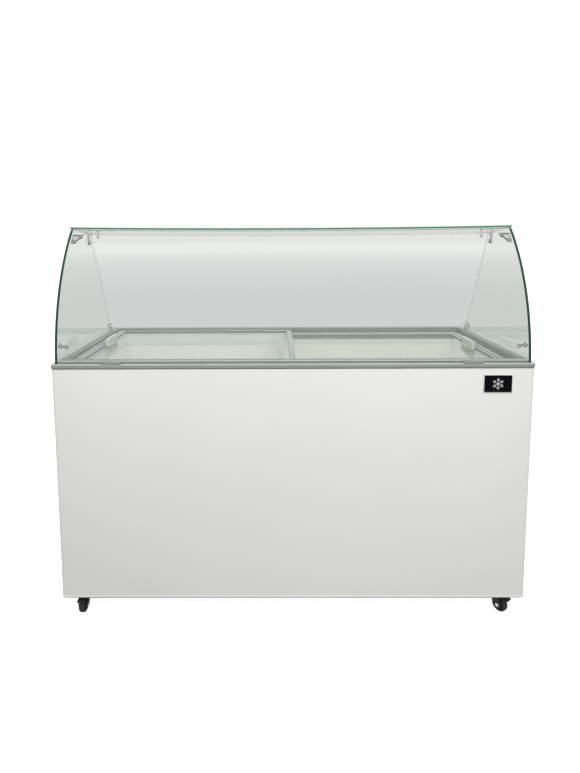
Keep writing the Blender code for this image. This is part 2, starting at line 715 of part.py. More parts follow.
def make_drier():
    profile = [(0.0, 0.2300), (0.0035, 0.2300), (0.0040, 0.2420), (0.0095, 0.2500), (0.0095, 0.3300), (0.0040, 0.3380),
               (0.0035, 0.3440), (0.0, 0.3440)]
    turned("filter_drier", profile, "z", (0.648, 0.2855, 0.0), 16, material("filter_drier", (0.45, 0.23, 0.12), 0.3, 0.9))


def make_evaporator():
    """A tube that rises from the machine bay, winds round the liner and drops back."""
    off = LINER_T + 0.0050
    hx = LINER_HX + off
    hy = LINER_HY + off
    turns = 5
    low, high = 0.505, 0.785
    loop = rounded_outline(hx, hy, COIL_BEND, 2)
    start = (0.625, hy)
    lengths = [0.0]
    path = [start, *loop[3:], *loop[:3], (0.640, hy)]
    for a, b in zip(path, path[1:]):
        lengths.append(lengths[-1] + math.dist(a, b))
    points = [(0.612, hy, 0.350), (0.612, hy, low - 0.012), (0.616, hy, low - 0.004)]
    rise = (high - low) / turns
    for turn in range(turns):
        last = turn == turns - 1
        for (x, y), s in zip(path[:-1], lengths):
            points.append((x, y, low + rise * (turn + s / lengths[-1])))
    points.append((0.662, hy + 0.0015, high - 0.002))
    points.append((0.652, hy + 0.008, high - 0.003))
    points.append((0.648, hy + 0.0100, high - 0.012))
    points.append((0.648, hy + 0.0100, 0.350))
    tube("evaporator_coil", points, 0.0035, material("evaporator_coil", (0.55, 0.29, 0.16), 0.3, 0.9))


def make_grille():
    back = CAB_D / 2 + GAP
    mat = material("rear_grille", (0.60, 0.60, 0.58), 0.45)
    grille = box("rear_grille", (PANEL_X[0] - 0.008, back, GRILLE_Z[0] - 0.008),
                 (PANEL_X[1] + 0.008, back + 0.0018, GRILLE_Z[1] + 0.007), mat)
    count = 9
    pitch = (GRILLE_Z[1] - GRILLE_Z[0]) / count
    teeth = []
    for i in range(count):
        low = GRILLE_Z[0] + pitch * (i + 0.25)
        for left, right in ((PANEL_X[0] + 0.008, 0.590), (0.600, PANEL_X[1] - 0.008)):
            teeth.append(box_mesh((left, back - 0.01, low), (right, back + 0.01, low + pitch * 0.5)))
    cut(grille, merged(teeth))


def make_controls():
    back = CAB_D / 2 + GAP
    deep = 0.022
    low = (PANEL_X[0] + 0.001, back - deep, CONTROL_Z[0] + 0.001)
    high = (PANEL_X[1] - 0.001, back + 0.0010, CONTROL_Z[1] - 0.001)
    tray = box("control_panel", low, high, material("control_panel", (0.55, 0.56, 0.55), 0.45))
    add(tray, box_mesh((low[0] - 0.008, back, low[2] - 0.008), (high[0] + 0.008, back + 0.0018, high[2] + 0.008)))
    cut(tray, box_mesh((low[0] + 0.0015, back - deep + 0.0015, low[2] + 0.0015), (high[0] - 0.0015, back + 0.02, high[2] - 0.0015)))
    face = back - deep + 0.0015 + GAP
    x, z = KNOB
    knob = [(0.0, 0.0), (0.017, 0.0), (0.017, 0.002), (0.0145, 0.0035), (0.0130, 0.0150), (0.0, 0.0155)]
    dial = turned("thermostat_knob", knob, "y", (x, face, z), 24, black_plastic("thermostat_knob"), (x, face, z))
    cut(dial, box_mesh((x - 0.0008, face + 0.0140, z + 0.004), (x + 0.0008, face + 0.020, z + 0.012)))
    x, z = LAMP
    lamp = [(0.0, 0.0), (0.0075, 0.0), (0.0075, 0.0015), (0.0055, 0.0030), (0.0045, 0.0060), (0.0025, 0.0076), (0.0, 0.0080)]
    turned("power_lamp", lamp, "y", (x, face, z), 16, material("power_lamp", (0.05, 0.55, 0.12), 0.2))


def make_gland():
    x, z = GLAND
    back = CAB_D / 2
    profile = [(0.0045, -0.018), (0.0080, -0.018), (0.0080, GAP), (0.0130, GAP), (0.0130, 0.0012), (0.0110, 0.0024),
               (0.0045, 0.0024)]
    turned("cable_gland", profile, "y", (x, back, z), 16, black_plastic("cable_gland"))


def build():
    clear_scene()
    make_outer_shell()
    make_back_panel()
    make_foam()
    make_inner_liner()
    make_base()
    make_rim()
    make_collar()
    make_badge()
    make_drain()
    make_lid("left", LEFT_LID, LEFT_LID_HY, TRACK_HIGH + 0.0005, True)
    make_lid("right", RIGHT_LID, RIGHT_LID_HY, TRACK_LOW + 0.0005, False)
    make_front_glass()
    make_top_glass()
    for side, sign in (("left", -1), ("right", 1)):
        make_side_glass(side, sign)
        make_top_bracket(side, sign)
        make_front_clip(side, sign)
        make_rear_clip(side, sign)
        make_glass_clamp(side, sign)
    make_castors()
    make_compressor()
    make_condenser()
    make_fan()
    make_drier()
    make_evaporator()
    make_grille()
    make_controls()
    make_gland()


build()
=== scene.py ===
import json
import math

import bmesh
import bpy
from mathutils import Matrix, Vector

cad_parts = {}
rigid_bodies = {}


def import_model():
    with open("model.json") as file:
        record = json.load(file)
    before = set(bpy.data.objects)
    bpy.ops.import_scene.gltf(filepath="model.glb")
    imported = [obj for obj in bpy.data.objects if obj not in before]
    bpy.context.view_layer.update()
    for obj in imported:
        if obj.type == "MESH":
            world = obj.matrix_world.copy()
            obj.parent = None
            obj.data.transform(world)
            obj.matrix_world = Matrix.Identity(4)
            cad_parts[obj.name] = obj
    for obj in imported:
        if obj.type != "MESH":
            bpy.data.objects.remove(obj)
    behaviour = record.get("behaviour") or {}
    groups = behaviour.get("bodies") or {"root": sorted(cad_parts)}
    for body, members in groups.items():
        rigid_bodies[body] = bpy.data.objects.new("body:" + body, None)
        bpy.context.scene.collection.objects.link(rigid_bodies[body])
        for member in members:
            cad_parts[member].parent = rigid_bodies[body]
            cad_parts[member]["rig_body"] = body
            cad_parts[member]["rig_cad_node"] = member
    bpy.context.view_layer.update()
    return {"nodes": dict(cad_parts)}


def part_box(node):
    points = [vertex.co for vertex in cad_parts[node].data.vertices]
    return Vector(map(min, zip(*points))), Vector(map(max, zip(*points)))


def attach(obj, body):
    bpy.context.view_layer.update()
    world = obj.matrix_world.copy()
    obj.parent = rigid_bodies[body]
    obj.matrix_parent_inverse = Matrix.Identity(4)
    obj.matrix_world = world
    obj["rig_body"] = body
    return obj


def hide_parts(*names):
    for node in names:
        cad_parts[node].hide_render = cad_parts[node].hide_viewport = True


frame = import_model()
nodes = frame["nodes"]
print("frame loaded:", len(nodes), "nodes")


def clearPick():
    if bpy.context.object and bpy.context.object.mode != "OBJECT":
        bpy.ops.object.mode_set(mode="OBJECT")
    bpy.ops.object.select_all(action="DESELECT")


def activate(piece):
    clearPick()
    piece.select_set(True)
    bpy.context.view_layer.objects.active = piece


def openEdit(piece):
    activate(piece)
    bpy.ops.object.mode_set(mode="EDIT")
    bpy.ops.mesh.select_mode(type="VERT")
    bpy.ops.mesh.select_all(action="DESELECT")
    return bmesh.from_edit_mesh(piece.data)


def pickAll():
    bpy.ops.mesh.select_all(action="SELECT")


def pickFaces(piece, test):
    openEdit(piece)
    bpy.ops.mesh.select_mode(type="FACE")
    bm = bmesh.from_edit_mesh(piece.data)
    for face in bm.faces:
        face.select_set(bool(test(face.calc_center_median(), face.normal)))
    bmesh.update_edit_mesh(piece.data)


def pickEdges(piece, test):
    openEdit(piece)
    bpy.ops.mesh.select_mode(type="EDGE")
    bm = bmesh.from_edit_mesh(piece.data)
    for edge in bm.edges:
        a, b = edge.verts[0].co, edge.verts[1].co
        sharp = edge.calc_face_angle(0.0)
        edge.select_set(bool(test((a + b) / 2, (b - a).normalized(), sharp)))
    bmesh.update_edit_mesh(piece.data)


def closeEdit():
    bpy.ops.object.mode_set(mode="OBJECT")


def faceOutwards(piece):
    openEdit(piece)
    pickAll()
    bpy.ops.mesh.normals_make_consistent(inside=False)
    closeEdit()
    return piece


# an edge loop straight across at a place along the width
def cutAcross(piece, x):
    openEdit(piece)
    pickAll()
    bpy.ops.mesh.bisect(plane_co=(x, 0, 0), plane_no=(1, 0, 0))
    closeEdit()


# drops the edge between the first and the last point of a fresh outline
def openOutline(piece):
    last = len(piece.data.vertices) - 1
    bm = openEdit(piece)
    for edge in bm.edges:
        if {v.index for v in edge.verts} == {0, last}:
            edge.select_set(True)
    bmesh.update_edit_mesh(piece.data)
    bpy.ops.mesh.select_mode(type="EDGE")
    bpy.ops.mesh.delete(type="EDGE_FACE")
    closeEdit()


def nameIt(name):
    piece = bpy.context.active_object
    piece.name = name
    piece.data.name = name
    bpy.ops.object.transform_apply(location=True, rotation=True, scale=True)
    return piece


def startBlock(name, low, high):
    clearPick()
    middle = [(a + b) / 2 for a, b in zip(low, high)]
    bpy.ops.mesh.primitive_cube_add(size=1.0, location=middle)
    bpy.context.active_object.scale = [b - a for a, b in zip(low, high)]
    return nameIt(name)


def startRod(name, radius, middle, along, length, sides=24):
    clearPick()
    turn = {"x": (0, math.pi / 2, 0), "y": (math.pi / 2, 0, 0), "z": (0, 0, 0)}[along]
    bpy.ops.mesh.primitive_cylinder_add(vertices=sides, radius=radius, depth=length, location=middle,
                                        rotation=turn)
    return nameIt(name)


# points are x, y, z triples in order round a closed line
def startOutline(name, points, filled=True):
    clearPick()
    bpy.ops.mesh.primitive_circle_add(vertices=len(points), radius=1.0,
                                      fill_type="NGON" if filled else "NOTHING")
    piece = nameIt(name)
    for vert, place in zip(piece.data.vertices, points):
        vert.co = place
    return piece


# extrude everything that is there along a line
def pull(piece, move):
    openEdit(piece)
    pickAll()
    bpy.ops.mesh.extrude_region_move(TRANSFORM_OT_translate={"value": move})
    closeEdit()
    return faceOutwards(piece)


# an outline drawn in one plane and pulled along its normal
def slab(name, outline, along, start, stop):
    lay = {"x": lambda a, b: (start, a, b), "y": lambda a, b: (a, start, b), "z": lambda a,
           b: (a, b, start)}[along]
    move = {"x": (stop - start, 0, 0), "y": (0, stop - start, 0), "z": (0, 0, stop - start)}[along]
    return pull(startOutline(name, [lay(a, b) for a, b in outline]), move)


# spin a line of radius and height points round an axis
def turned(name, profile, middle, along, steps=32):
    clearPick()
    bpy.ops.mesh.primitive_circle_add(vertices=len(profile), radius=1.0, fill_type="NOTHING")
    piece = nameIt(name)
    side = {"x": lambda r, h: (h, r, 0), "y": lambda r, h: (r, h, 0), "z": lambda r, h: (r, 0, h)}[along]
    for vert, (r, h) in zip(piece.data.vertices, profile):
        vert.co = Vector(side(r, h)) + Vector(middle)
    if profile[0][0] == 0.0:      # a solid piece is open along its axis until it is spun
        openOutline(piece)
    openEdit(piece)
    pickAll()
    axis = {"x": (1, 0, 0), "y": (0, 1, 0), "z": (0, 0, 1)}[along]
    bpy.ops.mesh.spin(steps=steps, angle=2 * math.pi, center=middle, axis=axis)
    pickAll()
    bpy.ops.mesh.remove_doubles(threshold=0.00001)
    closeEdit()
    return faceOutwards(piece)


def roundEdges(piece, width, segments=2, test=None, angle=30):
    pickEdges(piece, test or (lambda m, d, sharp: sharp > math.radians(angle)))
    bpy.ops.mesh.bevel(offset=width, offset_type="OFFSET", segments=segments, profile=0.5, affect="EDGES",
                       clamp_overlap=True)
    closeEdit()
    return piece


# a bevel modifier over every sharp edge, applied
def softenAll(piece, width, segments=2, angle=35):
    activate(piece)
    bevel = piece.modifiers.new("soften", "BEVEL")
    bevel.width = width
    bevel.segments = segments
    bevel.limit_method = "ANGLE"
    bevel.angle_limit = math.radians(angle)
    bevel.use_clamp_overlap = True
    bpy.ops.object.modifier_apply(modifier=bevel.name)
    return piece


def carve(piece, tool, operation="DIFFERENCE"):
    activate(piece)
    cut = piece.modifiers.new("carve", "BOOLEAN")
    cut.operation = operation
    cut.solver = "EXACT"
    cut.object = tool
    bpy.ops.object.modifier_apply(modifier=cut.name)
    bpy.data.objects.remove(tool, do_unlink=True)
    return piece


def joinPieces(pieces, name):
    clearPick()
    for piece in pieces:
        piece.select_set(True)
    bpy.context.view_layer.objects.active = pieces[0]
    bpy.ops.object.join()
    return nameIt(name)


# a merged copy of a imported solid, with its edges softened
def fromNode(node, name, width=0.0, segments=2, angle=35):
    activate(nodes[node])
    bpy.ops.object.duplicate()
    piece = bpy.context.active_object
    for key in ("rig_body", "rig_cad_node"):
        if key in piece:
            del piece[key]
    piece.parent = None
    piece.name = name
    piece.data.name = name
    openEdit(piece)
    pickAll()
    bpy.ops.mesh.remove_doubles(threshold=0.00002)
    pickAll()
    bpy.ops.mesh.dissolve_limited(angle_limit=math.radians(1.0))
    closeEdit()
    faceOutwards(piece)
    if width:
        softenAll(piece, width, segments, angle)
    return piece


# shade, paint and hang a finished piece on its body
def settle(piece, body, material, stands=(), smooth=35):
    activate(piece)
    bpy.ops.object.transform_apply(location=True, rotation=True, scale=True)
    bpy.ops.object.shade_smooth_by_angle(angle=math.radians(smooth))
    if material is not None:
        piece.data.materials.clear()
        piece.data.materials.append(material)
    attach(piece, body)
    if stands:
        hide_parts(*([stands] if isinstance(stands, str) else stands))
    return piece


# a copy with its own mesh, carried by a matrix; a mirrored one is turned right side out
def twin(piece, name, matrix):
    activate(piece)
    bpy.ops.object.duplicate()
    copy = bpy.context.active_object
    copy.name = name
    copy.data.name = name
    copy.data.transform(matrix)
    if matrix.determinant() < 0:
        faceOutwards(copy)
    return copy


mirrorX = Matrix.Scale(-1, 4, (1, 0, 0))


# a colour picked off a 0 to 255 chart, as linear light
def linear(r, g, b):
    parts = [c / 255 for c in (r, g, b)]
    return tuple(c / 12.92 if c <= 0.04045 else ((c + 0.055) / 1.055) ** 2.4 for c in parts)


def newFinish(name):
    material = bpy.data.materials.new(name)
    material.use_nodes = True
    tree = material.node_tree
    shader = tree.nodes["Principled BSDF"]
    place = tree.nodes.new("ShaderNodeTexCoord")
    return material, tree, shader, place.outputs["Object"]


# soft noise over the surface, stretched along an axis if asked
def cloud(tree, place, scale, detail=3.0, stretch=None):
    if stretch:
        mapping = tree.nodes.new("ShaderNodeMapping")
        mapping.inputs["Scale"].default_value = stretch
        tree.links.new(place, mapping.inputs["Vector"])
        place = mapping.outputs["Vector"]
    noise = tree.nodes.new("ShaderNodeTexNoise")
    noise.inputs["Scale"].default_value = scale
    noise.inputs["Detail"].default_value = detail
    noise.inputs["Roughness"].default_value = 0.5
    tree.links.new(place, noise.inputs["Vector"])
    return noise.outputs["Fac"]


def between(tree, value, low, high, fromLow=0.3, fromHigh=0.7):
    span = tree.nodes.new("ShaderNodeMapRange")
    span.inputs["From Min"].default_value = fromLow
    span.inputs["From Max"].default_value = fromHigh
    span.inputs["To Min"].default_value = low
    span.inputs["To Max"].default_value = high
    tree.links.new(value, span.inputs["Value"])
    return span.outputs["Result"]


def tint(tree, value, first, second):
    ramp = tree.nodes.new("ShaderNodeValToRGB")
    ramp.color_ramp.elements[0].position = 0.3
    ramp.color_ramp.elements[1].position = 0.7
    ramp.color_ramp.elements[0].color = (*first, 1)
    ramp.color_ramp.elements[1].color = (*second, 1)
    tree.links.new(value, ramp.inputs["Fac"])
    return ramp.outputs["Color"]


def bump(tree, shader, value, strength, distance):
    node = tree.nodes.new("ShaderNodeBump")
    node.inputs["Strength"].default_value = strength
    node.inputs["Distance"].default_value = distance
    tree.links.new(value, node.inputs["Height"])
    tree.links.new(node.outputs["Normal"], shader.inputs["Normal"])


# colour that drifts between two shades, a fine grain and uneven gloss
def surface(name, first, second, rough, metal=0.0, patch=6.0, grain=400.0, grainDepth=0.00005, stretch=None,
            coat=0.0, specular=0.5, grainStrength=0.3, detail=3.0):
    material, tree, shader, place = newFinish(name)
    drift = cloud(tree, place, patch, detail, stretch)
    tree.links.new(tint(tree, drift, linear(*first), linear(*second)), shader.inputs["Base Color"])
    fine = cloud(tree, place, grain, 2.0, stretch)
    low, high = rough
    tree.links.new(between(tree, fine, low, high), shader.inputs["Roughness"])
    bump(tree, shader, fine, grainStrength, grainDepth)
    shader.inputs["Metallic"].default_value = metal
    shader.inputs["Coat Weight"].default_value = coat
    shader.inputs["Specular IOR Level"].default_value = specular
    return material


whitePaint = surface("whitePaint", (240, 241, 237), (245, 246, 242), (0.30, 0.42), patch=1.5, grain=900.0,
                     grainDepth=0.00004, grainStrength=0.12)
rimPlastic = surface("rimPlastic", (139, 143, 140), (148, 152, 148), (0.35, 0.5), patch=3.0, grain=600.0)
collarPlastic = surface("collarPlastic", (206, 211, 206), (214, 218, 213), (0.35, 0.5), patch=4.0,
                        grain=500.0)
lidPlastic = surface("lidPlastic", (166, 172, 171), (178, 183, 182), (0.3, 0.45), patch=4.0, grain=500.0)
gripPlastic = surface("gripPlastic", (214, 216, 212), (224, 226, 222), (0.35, 0.5), patch=8.0, grain=700.0)
linerSheet = surface("linerSheet", (246, 243, 232), (250, 248, 238), (0.25, 0.4), patch=2.0, grain=300.0)
foamCore = surface("foamCore", (226, 208, 150), (236, 222, 172), (0.85, 0.95), patch=30.0, grain=260.0,
                   grainDepth=0.0008, grainStrength=0.7)
chromePlate = surface("chromePlate", (226, 228, 229), (240, 241, 242), (0.05, 0.12), metal=1.0, patch=20.0,
                      grain=300.0, grainStrength=0.05)
zincPlate = surface("zincPlate", (160, 164, 168), (186, 189, 192), (0.3, 0.5), metal=0.9, patch=60.0,
                    grain=500.0)
blackPlastic = surface("blackPlastic", (24, 24, 25), (34, 34, 36), (0.4, 0.6), patch=30.0, grain=900.0)
blackRubber = surface("blackRubber", (28, 28, 28), (40, 40, 40), (0.6, 0.8), patch=60.0, grain=700.0)
blackPaint = surface("blackPaint", (22, 22, 23), (32, 32, 33), (0.3, 0.5), patch=10.0, grain=300.0)
copperPipe = surface("copperPipe", (168, 96, 62), (196, 122, 84), (0.2, 0.4), metal=1.0, patch=40.0,
                     grain=300.0)
fanMetal = surface("fanMetal", (150, 152, 154), (172, 174, 176), (0.25, 0.4), metal=0.9, patch=30.0,
                   grain=400.0)
panelPlastic = surface("panelPlastic", (196, 197, 195), (206, 207, 204), (0.4, 0.55), patch=10.0,
                       grain=700.0)
lampGreen = surface("lampGreen", (40, 170, 70), (70, 210, 96), (0.08, 0.15), patch=40.0, grain=500.0)

glassLook = {
    "veilLow": (246, 249, 247),
    "veilHigh": (250, 252, 250),
    "shadowTint": (0.965, 0.98, 0.97, 1),
}


# clear glass that lets lamps through and is a little greyer low down, with faint streaky patches in its
# tint and gloss
def glassFinish(name, low, high, zLow, zHigh, streakSize=3.0, streakTint=0.12):
    material, tree, shader, place = newFinish(name)
    shader.inputs["Transmission Weight"].default_value = 1.0
    shader.inputs["IOR"].default_value = 1.45
    split = tree.nodes.new("ShaderNodeSeparateXYZ")
    tree.links.new(place, split.inputs["Vector"])
    height = between(tree, split.outputs["Z"], 0.0, 1.0, zLow, zHigh)
    # faint streaky patches that lift or lower the glass tint and gloss
    marks = cloud(tree, place, streakSize, 4.0, (0.6, 1.0, 3.0))
    lift = between(tree, marks, -streakTint, streakTint)
    add = tree.nodes.new("ShaderNodeMath")
    add.operation = "ADD"
    tree.links.new(height, add.inputs[0])
    tree.links.new(lift, add.inputs[1])
    tree.links.new(tint(tree, add.outputs["Value"], linear(*low), linear(*high)),
                   shader.inputs["Base Color"])
    tree.links.new(between(tree, marks, 0.0, 0.02), shader.inputs["Roughness"])
    bump(tree, shader, cloud(tree, place, 1.6, 1.0), 0.05, 0.0006)
    path = tree.nodes.new("ShaderNodeLightPath")
    through = tree.nodes.new("ShaderNodeBsdfTransparent")
    through.inputs["Color"].default_value = glassLook["shadowTint"]
    mix = tree.nodes.new("ShaderNodeMixShader")
    tree.links.new(path.outputs["Is Shadow Ray"], mix.inputs["Fac"])
    tree.links.new(shader.outputs["BSDF"], mix.inputs[1])
    tree.links.new(through.outputs["BSDF"], mix.inputs[2])
    tree.links.new(mix.outputs["Shader"], tree.nodes["Material Output"].inputs["Surface"])
    return material


canopyGlass = glassFinish("canopyGlass", glassLook["veilLow"], glassLook["veilHigh"], 0.98, 1.28)
sideGlass = glassFinish("sideGlass", (248, 251, 249), (251, 253, 251), 0.86, 1.26)
shelfGlass = glassFinish("shelfGlass", (248, 251, 249), (251, 253, 251), 1.2, 1.3)
lidGlass = glassFinish("lidGlass", (247, 250, 247), (250, 252, 249), 0.8, 0.9)
glassEdge = surface("glassEdge", (6, 52, 38), (12, 64, 48), (0.05, 0.15), patch=30.0, grain=500.0)
shelfEdge = surface("shelfEdge", (52, 116, 93), (68, 132, 108), (0.05, 0.15), patch=30.0, grain=500.0)
paintedEdgeHighlight = surface("paintedEdgeHighlight", (206, 212, 208), (222, 227, 223), (0.05, 0.15), patch=30.0, grain=500.0)
badgeBlack = surface("badgeBlack", (2, 2, 6), (5, 5, 10), (0.35, 0.5), patch=30.0, grain=900.0,
                     specular=0.06)
padsWithPaintedOutline = surface("padsWithPaintedOutline", (60, 56, 50), (74, 70, 64), (0.5, 0.7), patch=60.0, grain=700.0)
rimShadow = surface("rimShadow", (104, 106, 104), (116, 118, 115), (0.5, 0.7), patch=30.0, grain=500.0)
hemShade = surface("hemShade", (158, 158, 156), (170, 170, 167), (0.4, 0.6), patch=4.0, grain=600.0)
whitePrint = surface("whitePrint", (232, 233, 230), (240, 241, 238), (0.4, 0.6), patch=30.0, grain=500.0)
footSeal = surface("footSeal", (214, 217, 213), (226, 228, 224), (0.4, 0.6), patch=30.0, grain=500.0)
print("finishes made")

stageLook = {
    "cameraPlace": (-0.0538, -2.0382, 1.2504),
    "pitchDown": 6.453,
    "yawLeft": 0.398,
    "roll": -0.271,
    "lens": 25.97,
    "shiftX": 0.02455,
    "shiftY": -0.1145,
    "backdrop": 1.0,
    "roomLow": 0.62,
    "roomHigh": 0.80,
    "roomInGloss": 0.82,
    "sideDim": 0.55,              # the room is darker to the left and right, which shows the corners
    "roomBehindGlass": 0.80,
    "floorGlow": 0.80,            # keeps the shadow under the cabinet faint
    "floorBounce": 0.05,          # what the floor gives back to the front
    "floorBehindGlass": (0.66, 0.86, 8.0, 45.0),   # near and far brightness, near and far distance
    "lamps": (
        ("keyLamp", (0.8, -1.9, 2.4), 1.4, 33.0),
        ("fillLamp", (-0.9, -1.9, 2.3), 1.2, 18.0),
        ("topLamp", (0.0, 0.7, 3.0), 2.4, 14.0),
    ),
}


def makeCamera():
    clearPick()
    bpy.ops.object.camera_add(location=stageLook["cameraPlace"])
    camera = bpy.context.active_object
    camera.name = "camera"
    camera.data.lens = stageLook["lens"]
    camera.data.sensor_width = 36.0
    camera.data.shift_x = stageLook["shiftX"]
    camera.data.shift_y = stageLook["shiftY"]
    turn = Matrix.Rotation(math.radians(stageLook["yawLeft"]), 3, "Z")
    turn = turn @ Matrix.Rotation(math.radians(90 - stageLook["pitchDown"]), 3, "X")
    turn = turn @ Matrix.Rotation(math.radians(stageLook["roll"]), 3, "Z")
    camera.rotation_euler = turn.to_euler()
    bpy.context.scene.camera = camera


# a white backdrop that lights the object as a softer, greyer room would
def makeRoom():
    world = bpy.data.worlds.new("studio")
    bpy.context.scene.world = world
    world.use_nodes = True
    tree = world.node_tree
    back = tree.nodes["Background"]
    back.inputs["Color"].default_value = (1, 1, 1, 1)
    way = tree.nodes.new("ShaderNodeTexCoord")
    split = tree.nodes.new("ShaderNodeSeparateXYZ")
    tree.links.new(way.outputs["Generated"], split.inputs["Vector"])
    soft = between(tree, split.outputs["Z"], stageLook["roomLow"], stageLook["roomHigh"], -0.1, 0.7)
    path = tree.nodes.new("ShaderNodeLightPath")
    aside = tree.nodes.new("ShaderNodeMath")
    aside.operation = "ABSOLUTE"
    tree.links.new(split.outputs["X"], aside.inputs[0])
    dimmed = tree.nodes.new("ShaderNodeMath")
    dimmed.operation = "MULTIPLY"
    tree.links.new(soft, dimmed.inputs[0])
    edges = between(tree, aside.outputs["Value"], 1.0, stageLook["sideDim"], 0.55, 0.95)
    tree.links.new(edges, dimmed.inputs[1])
    strength = dimmed.outputs["Value"]
    rays = (("Is Glossy Ray", stageLook["roomInGloss"]),
            ("Is Transmission Ray", stageLook["roomBehindGlass"]),
            ("Is Camera Ray", stageLook["backdrop"]))
    for ray, value in rays:
        choose = tree.nodes.new("ShaderNodeMix")
        tree.links.new(path.outputs[ray], choose.inputs["Factor"])
        tree.links.new(strength, choose.inputs["A"])
        choose.inputs["B"].default_value = value
        strength = choose.outputs["Result"]
    tree.links.new(strength, back.inputs["Strength"])


def makeFloor():
    clearPick()
    bpy.ops.mesh.primitive_plane_add(size=240.0, location=(0, 0, 0))
    floor = nameIt("floor")
    material, tree, shader, place = newFinish("paleFloor")
    paper = tint(tree, cloud(tree, place, 2.0), linear(246, 246, 246), linear(250, 250, 250))
    tree.links.new(paper, shader.inputs["Base Color"])
    shader.inputs["Roughness"].default_value = 0.9
    shader.inputs["Specular IOR Level"].default_value = 0.2
    path = tree.nodes.new("ShaderNodeLightPath")
    glow = between(tree, path.outputs["Is Camera Ray"], 0.0, stageLook["floorGlow"], 0.0, 1.0)
    shader.inputs["Emission Color"].default_value = (1, 1, 1, 1)
    tree.links.new(glow, shader.inputs["Emission Strength"])
    split = tree.nodes.new("ShaderNodeSeparateXYZ")
    tree.links.new(place, split.inputs["Vector"])
    farness = between(tree, split.outputs["Y"], *stageLook["floorBehindGlass"])
    last = shader.outputs["BSDF"]
    for ray, strength in (("Is Diffuse Ray", stageLook["floorBounce"]), ("Is Transmission Ray", farness)):
        veil = tree.nodes.new("ShaderNodeEmission")
        if isinstance(strength, float):
            veil.inputs["Strength"].default_value = strength
        else:
            tree.links.new(strength, veil.inputs["Strength"])
        mix = tree.nodes.new("ShaderNodeMixShader")
        tree.links.new(path.outputs[ray], mix.inputs["Fac"])
        tree.links.new(last, mix.inputs[1])
        tree.links.new(veil.outputs["Emission"], mix.inputs[2])
        last = mix.outputs["Shader"]
    tree.links.new(last, tree.nodes["Material Output"].inputs["Surface"])
    floor.data.materials.append(material)


def makeLamps():
    for name, place, size, power in stageLook["lamps"]:
        clearPick()
        bpy.ops.object.light_add(type="AREA", location=place)
        lamp = bpy.context.active_object
        lamp.name = name
        lamp.data.size = size
        lamp.data.energy = power
        aim = Vector((0, 0, 0.7)) - Vector(place)
        lamp.rotation_euler = aim.to_track_quat("-Z", "Y").to_euler()
        lamp.visible_glossy = False
        lamp.visible_transmission = False


makeCamera()
makeRoom()
makeFloor()
makeLamps()
view = bpy.context.scene.view_settings
view.view_transform = "Standard"
view.look = "None"
print("stage ready")

wrapLook = {
    "halfWidth": 0.756, "halfDepth": 0.335, "bottom": 0.070, "thick": 0.001, "corner": 0.012,
    "hem": 0.0029,
    "levels": ((0.0, -0.0006), (0.0008, 0.0), (0.0028, 0.0), (0.0034, 0.0008), (0.0062, 0.0008),
               (0.0072, 0.0), (0.7650, 0.0)),      # height over the bottom edge, and how far out
}


# the bent sheet seen from above, open at the back
def wrapOutline(grow):
    hx = wrapLook["halfWidth"] + grow
    hy = wrapLook["halfDepth"] + grow
    r = wrapLook["corner"]
    points = [(-hx, wrapLook["halfDepth"])]
    for cx, start in ((-hx + r, 180), (hx - r, 270)):
        for i in range(9):
            a = math.radians(start + 90 * i / 8)
            points.append((cx + r * math.cos(a), -hy + r + r * math.sin(a)))
    points.append((hx, wrapLook["halfDepth"]))
    return points


def makeWrap():
    levels = wrapLook["levels"]
    z = wrapLook["bottom"]
    piece = startOutline("cabinetWrap", [(x, y, z) for x, y in wrapOutline(levels[0][1])], filled=False)
    openOutline(piece)
    last = levels[0]
    for level in levels[1:]:
        openEdit(piece)
        bpy.ops.mesh.select_mode(type="EDGE")
        bm = bmesh.from_edit_mesh(piece.data)
        for edge in bm.edges:
            a, b = (v.co for v in edge.verts)
            edge.select_set(abs(a.z - z) < 1e-5 and abs(b.z - z) < 1e-5)
        bmesh.update_edit_mesh(piece.data)
        bpy.ops.mesh.extrude_region_move(TRANSFORM_OT_translate={"value": (0, 0, level[0] - last[0])})
        hx, hy = wrapLook["halfWidth"], wrapLook["halfDepth"]
        ratio = ((hx + level[1]) / (hx + last[1]), (hy + level[1]) / (hy + last[1]), 1.0)
        bpy.ops.transform.resize(value=ratio, center_override=(0, 0, 0))
        closeEdit()
        z = wrapLook["bottom"] + level[0]
        last = level
    faceOutwards(piece)
    thicken(piece, wrapLook["thick"])
    return settle(piece, "cabinet", whitePaint, "outer_shell")


# give a sheet its thickness inwards
def thicken(piece, amount):
    activate(piece)
    skin = piece.modifiers.new("thick", "SOLIDIFY")
    skin.thickness = amount
    skin.offset = -1.0
    bpy.ops.object.modifier_apply(modifier=skin.name)
    return piece


wrap = makeWrap()
print("wrap made")

settle(fromNode("back_panel", "rearSheet", 0.0003, 1), "cabinet", whitePaint, "back_panel")
hemTop = wrapLook["bottom"] + wrapLook["hem"]
rimRing = settle(fromNode("top_rim", "rimRing", 0.0006, 2, 18), "cabinet", rimPlastic,
                 "top_rim", 50)
settle(fromNode("lid_collar", "trackCollar", 0.0008, 2), "cabinet", collarPlastic,
       "lid_collar")

linerLook = {"corner": 0.016, "segments": 5, "sheet": 0.0016, "slack": 0.0003}


# the well with its inner corners pressed round
def makeLiner():
    piece = fromNode("inner_liner", "wellLiner")
    low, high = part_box("inner_liner")
    inset = linerLook["sheet"]
    slack = linerLook["slack"]
    box = (low.x + inset, high.x - inset, low.y + inset, high.y - inset)

    def inside(m, d, sharp):
        deep = low.z + inset - slack < m.z < high.z - 0.001
        across = box[0] - slack < m.x < box[1] + slack
        along = box[2] - slack < m.y < box[3] + slack
        return deep and across and along and sharp > 1.0

    roundEdges(piece, linerLook["corner"], linerLook["segments"], inside)
    return settle(piece, "cabinet", linerSheet, "inner_liner", smooth=50)


makeLiner()
print("well made")

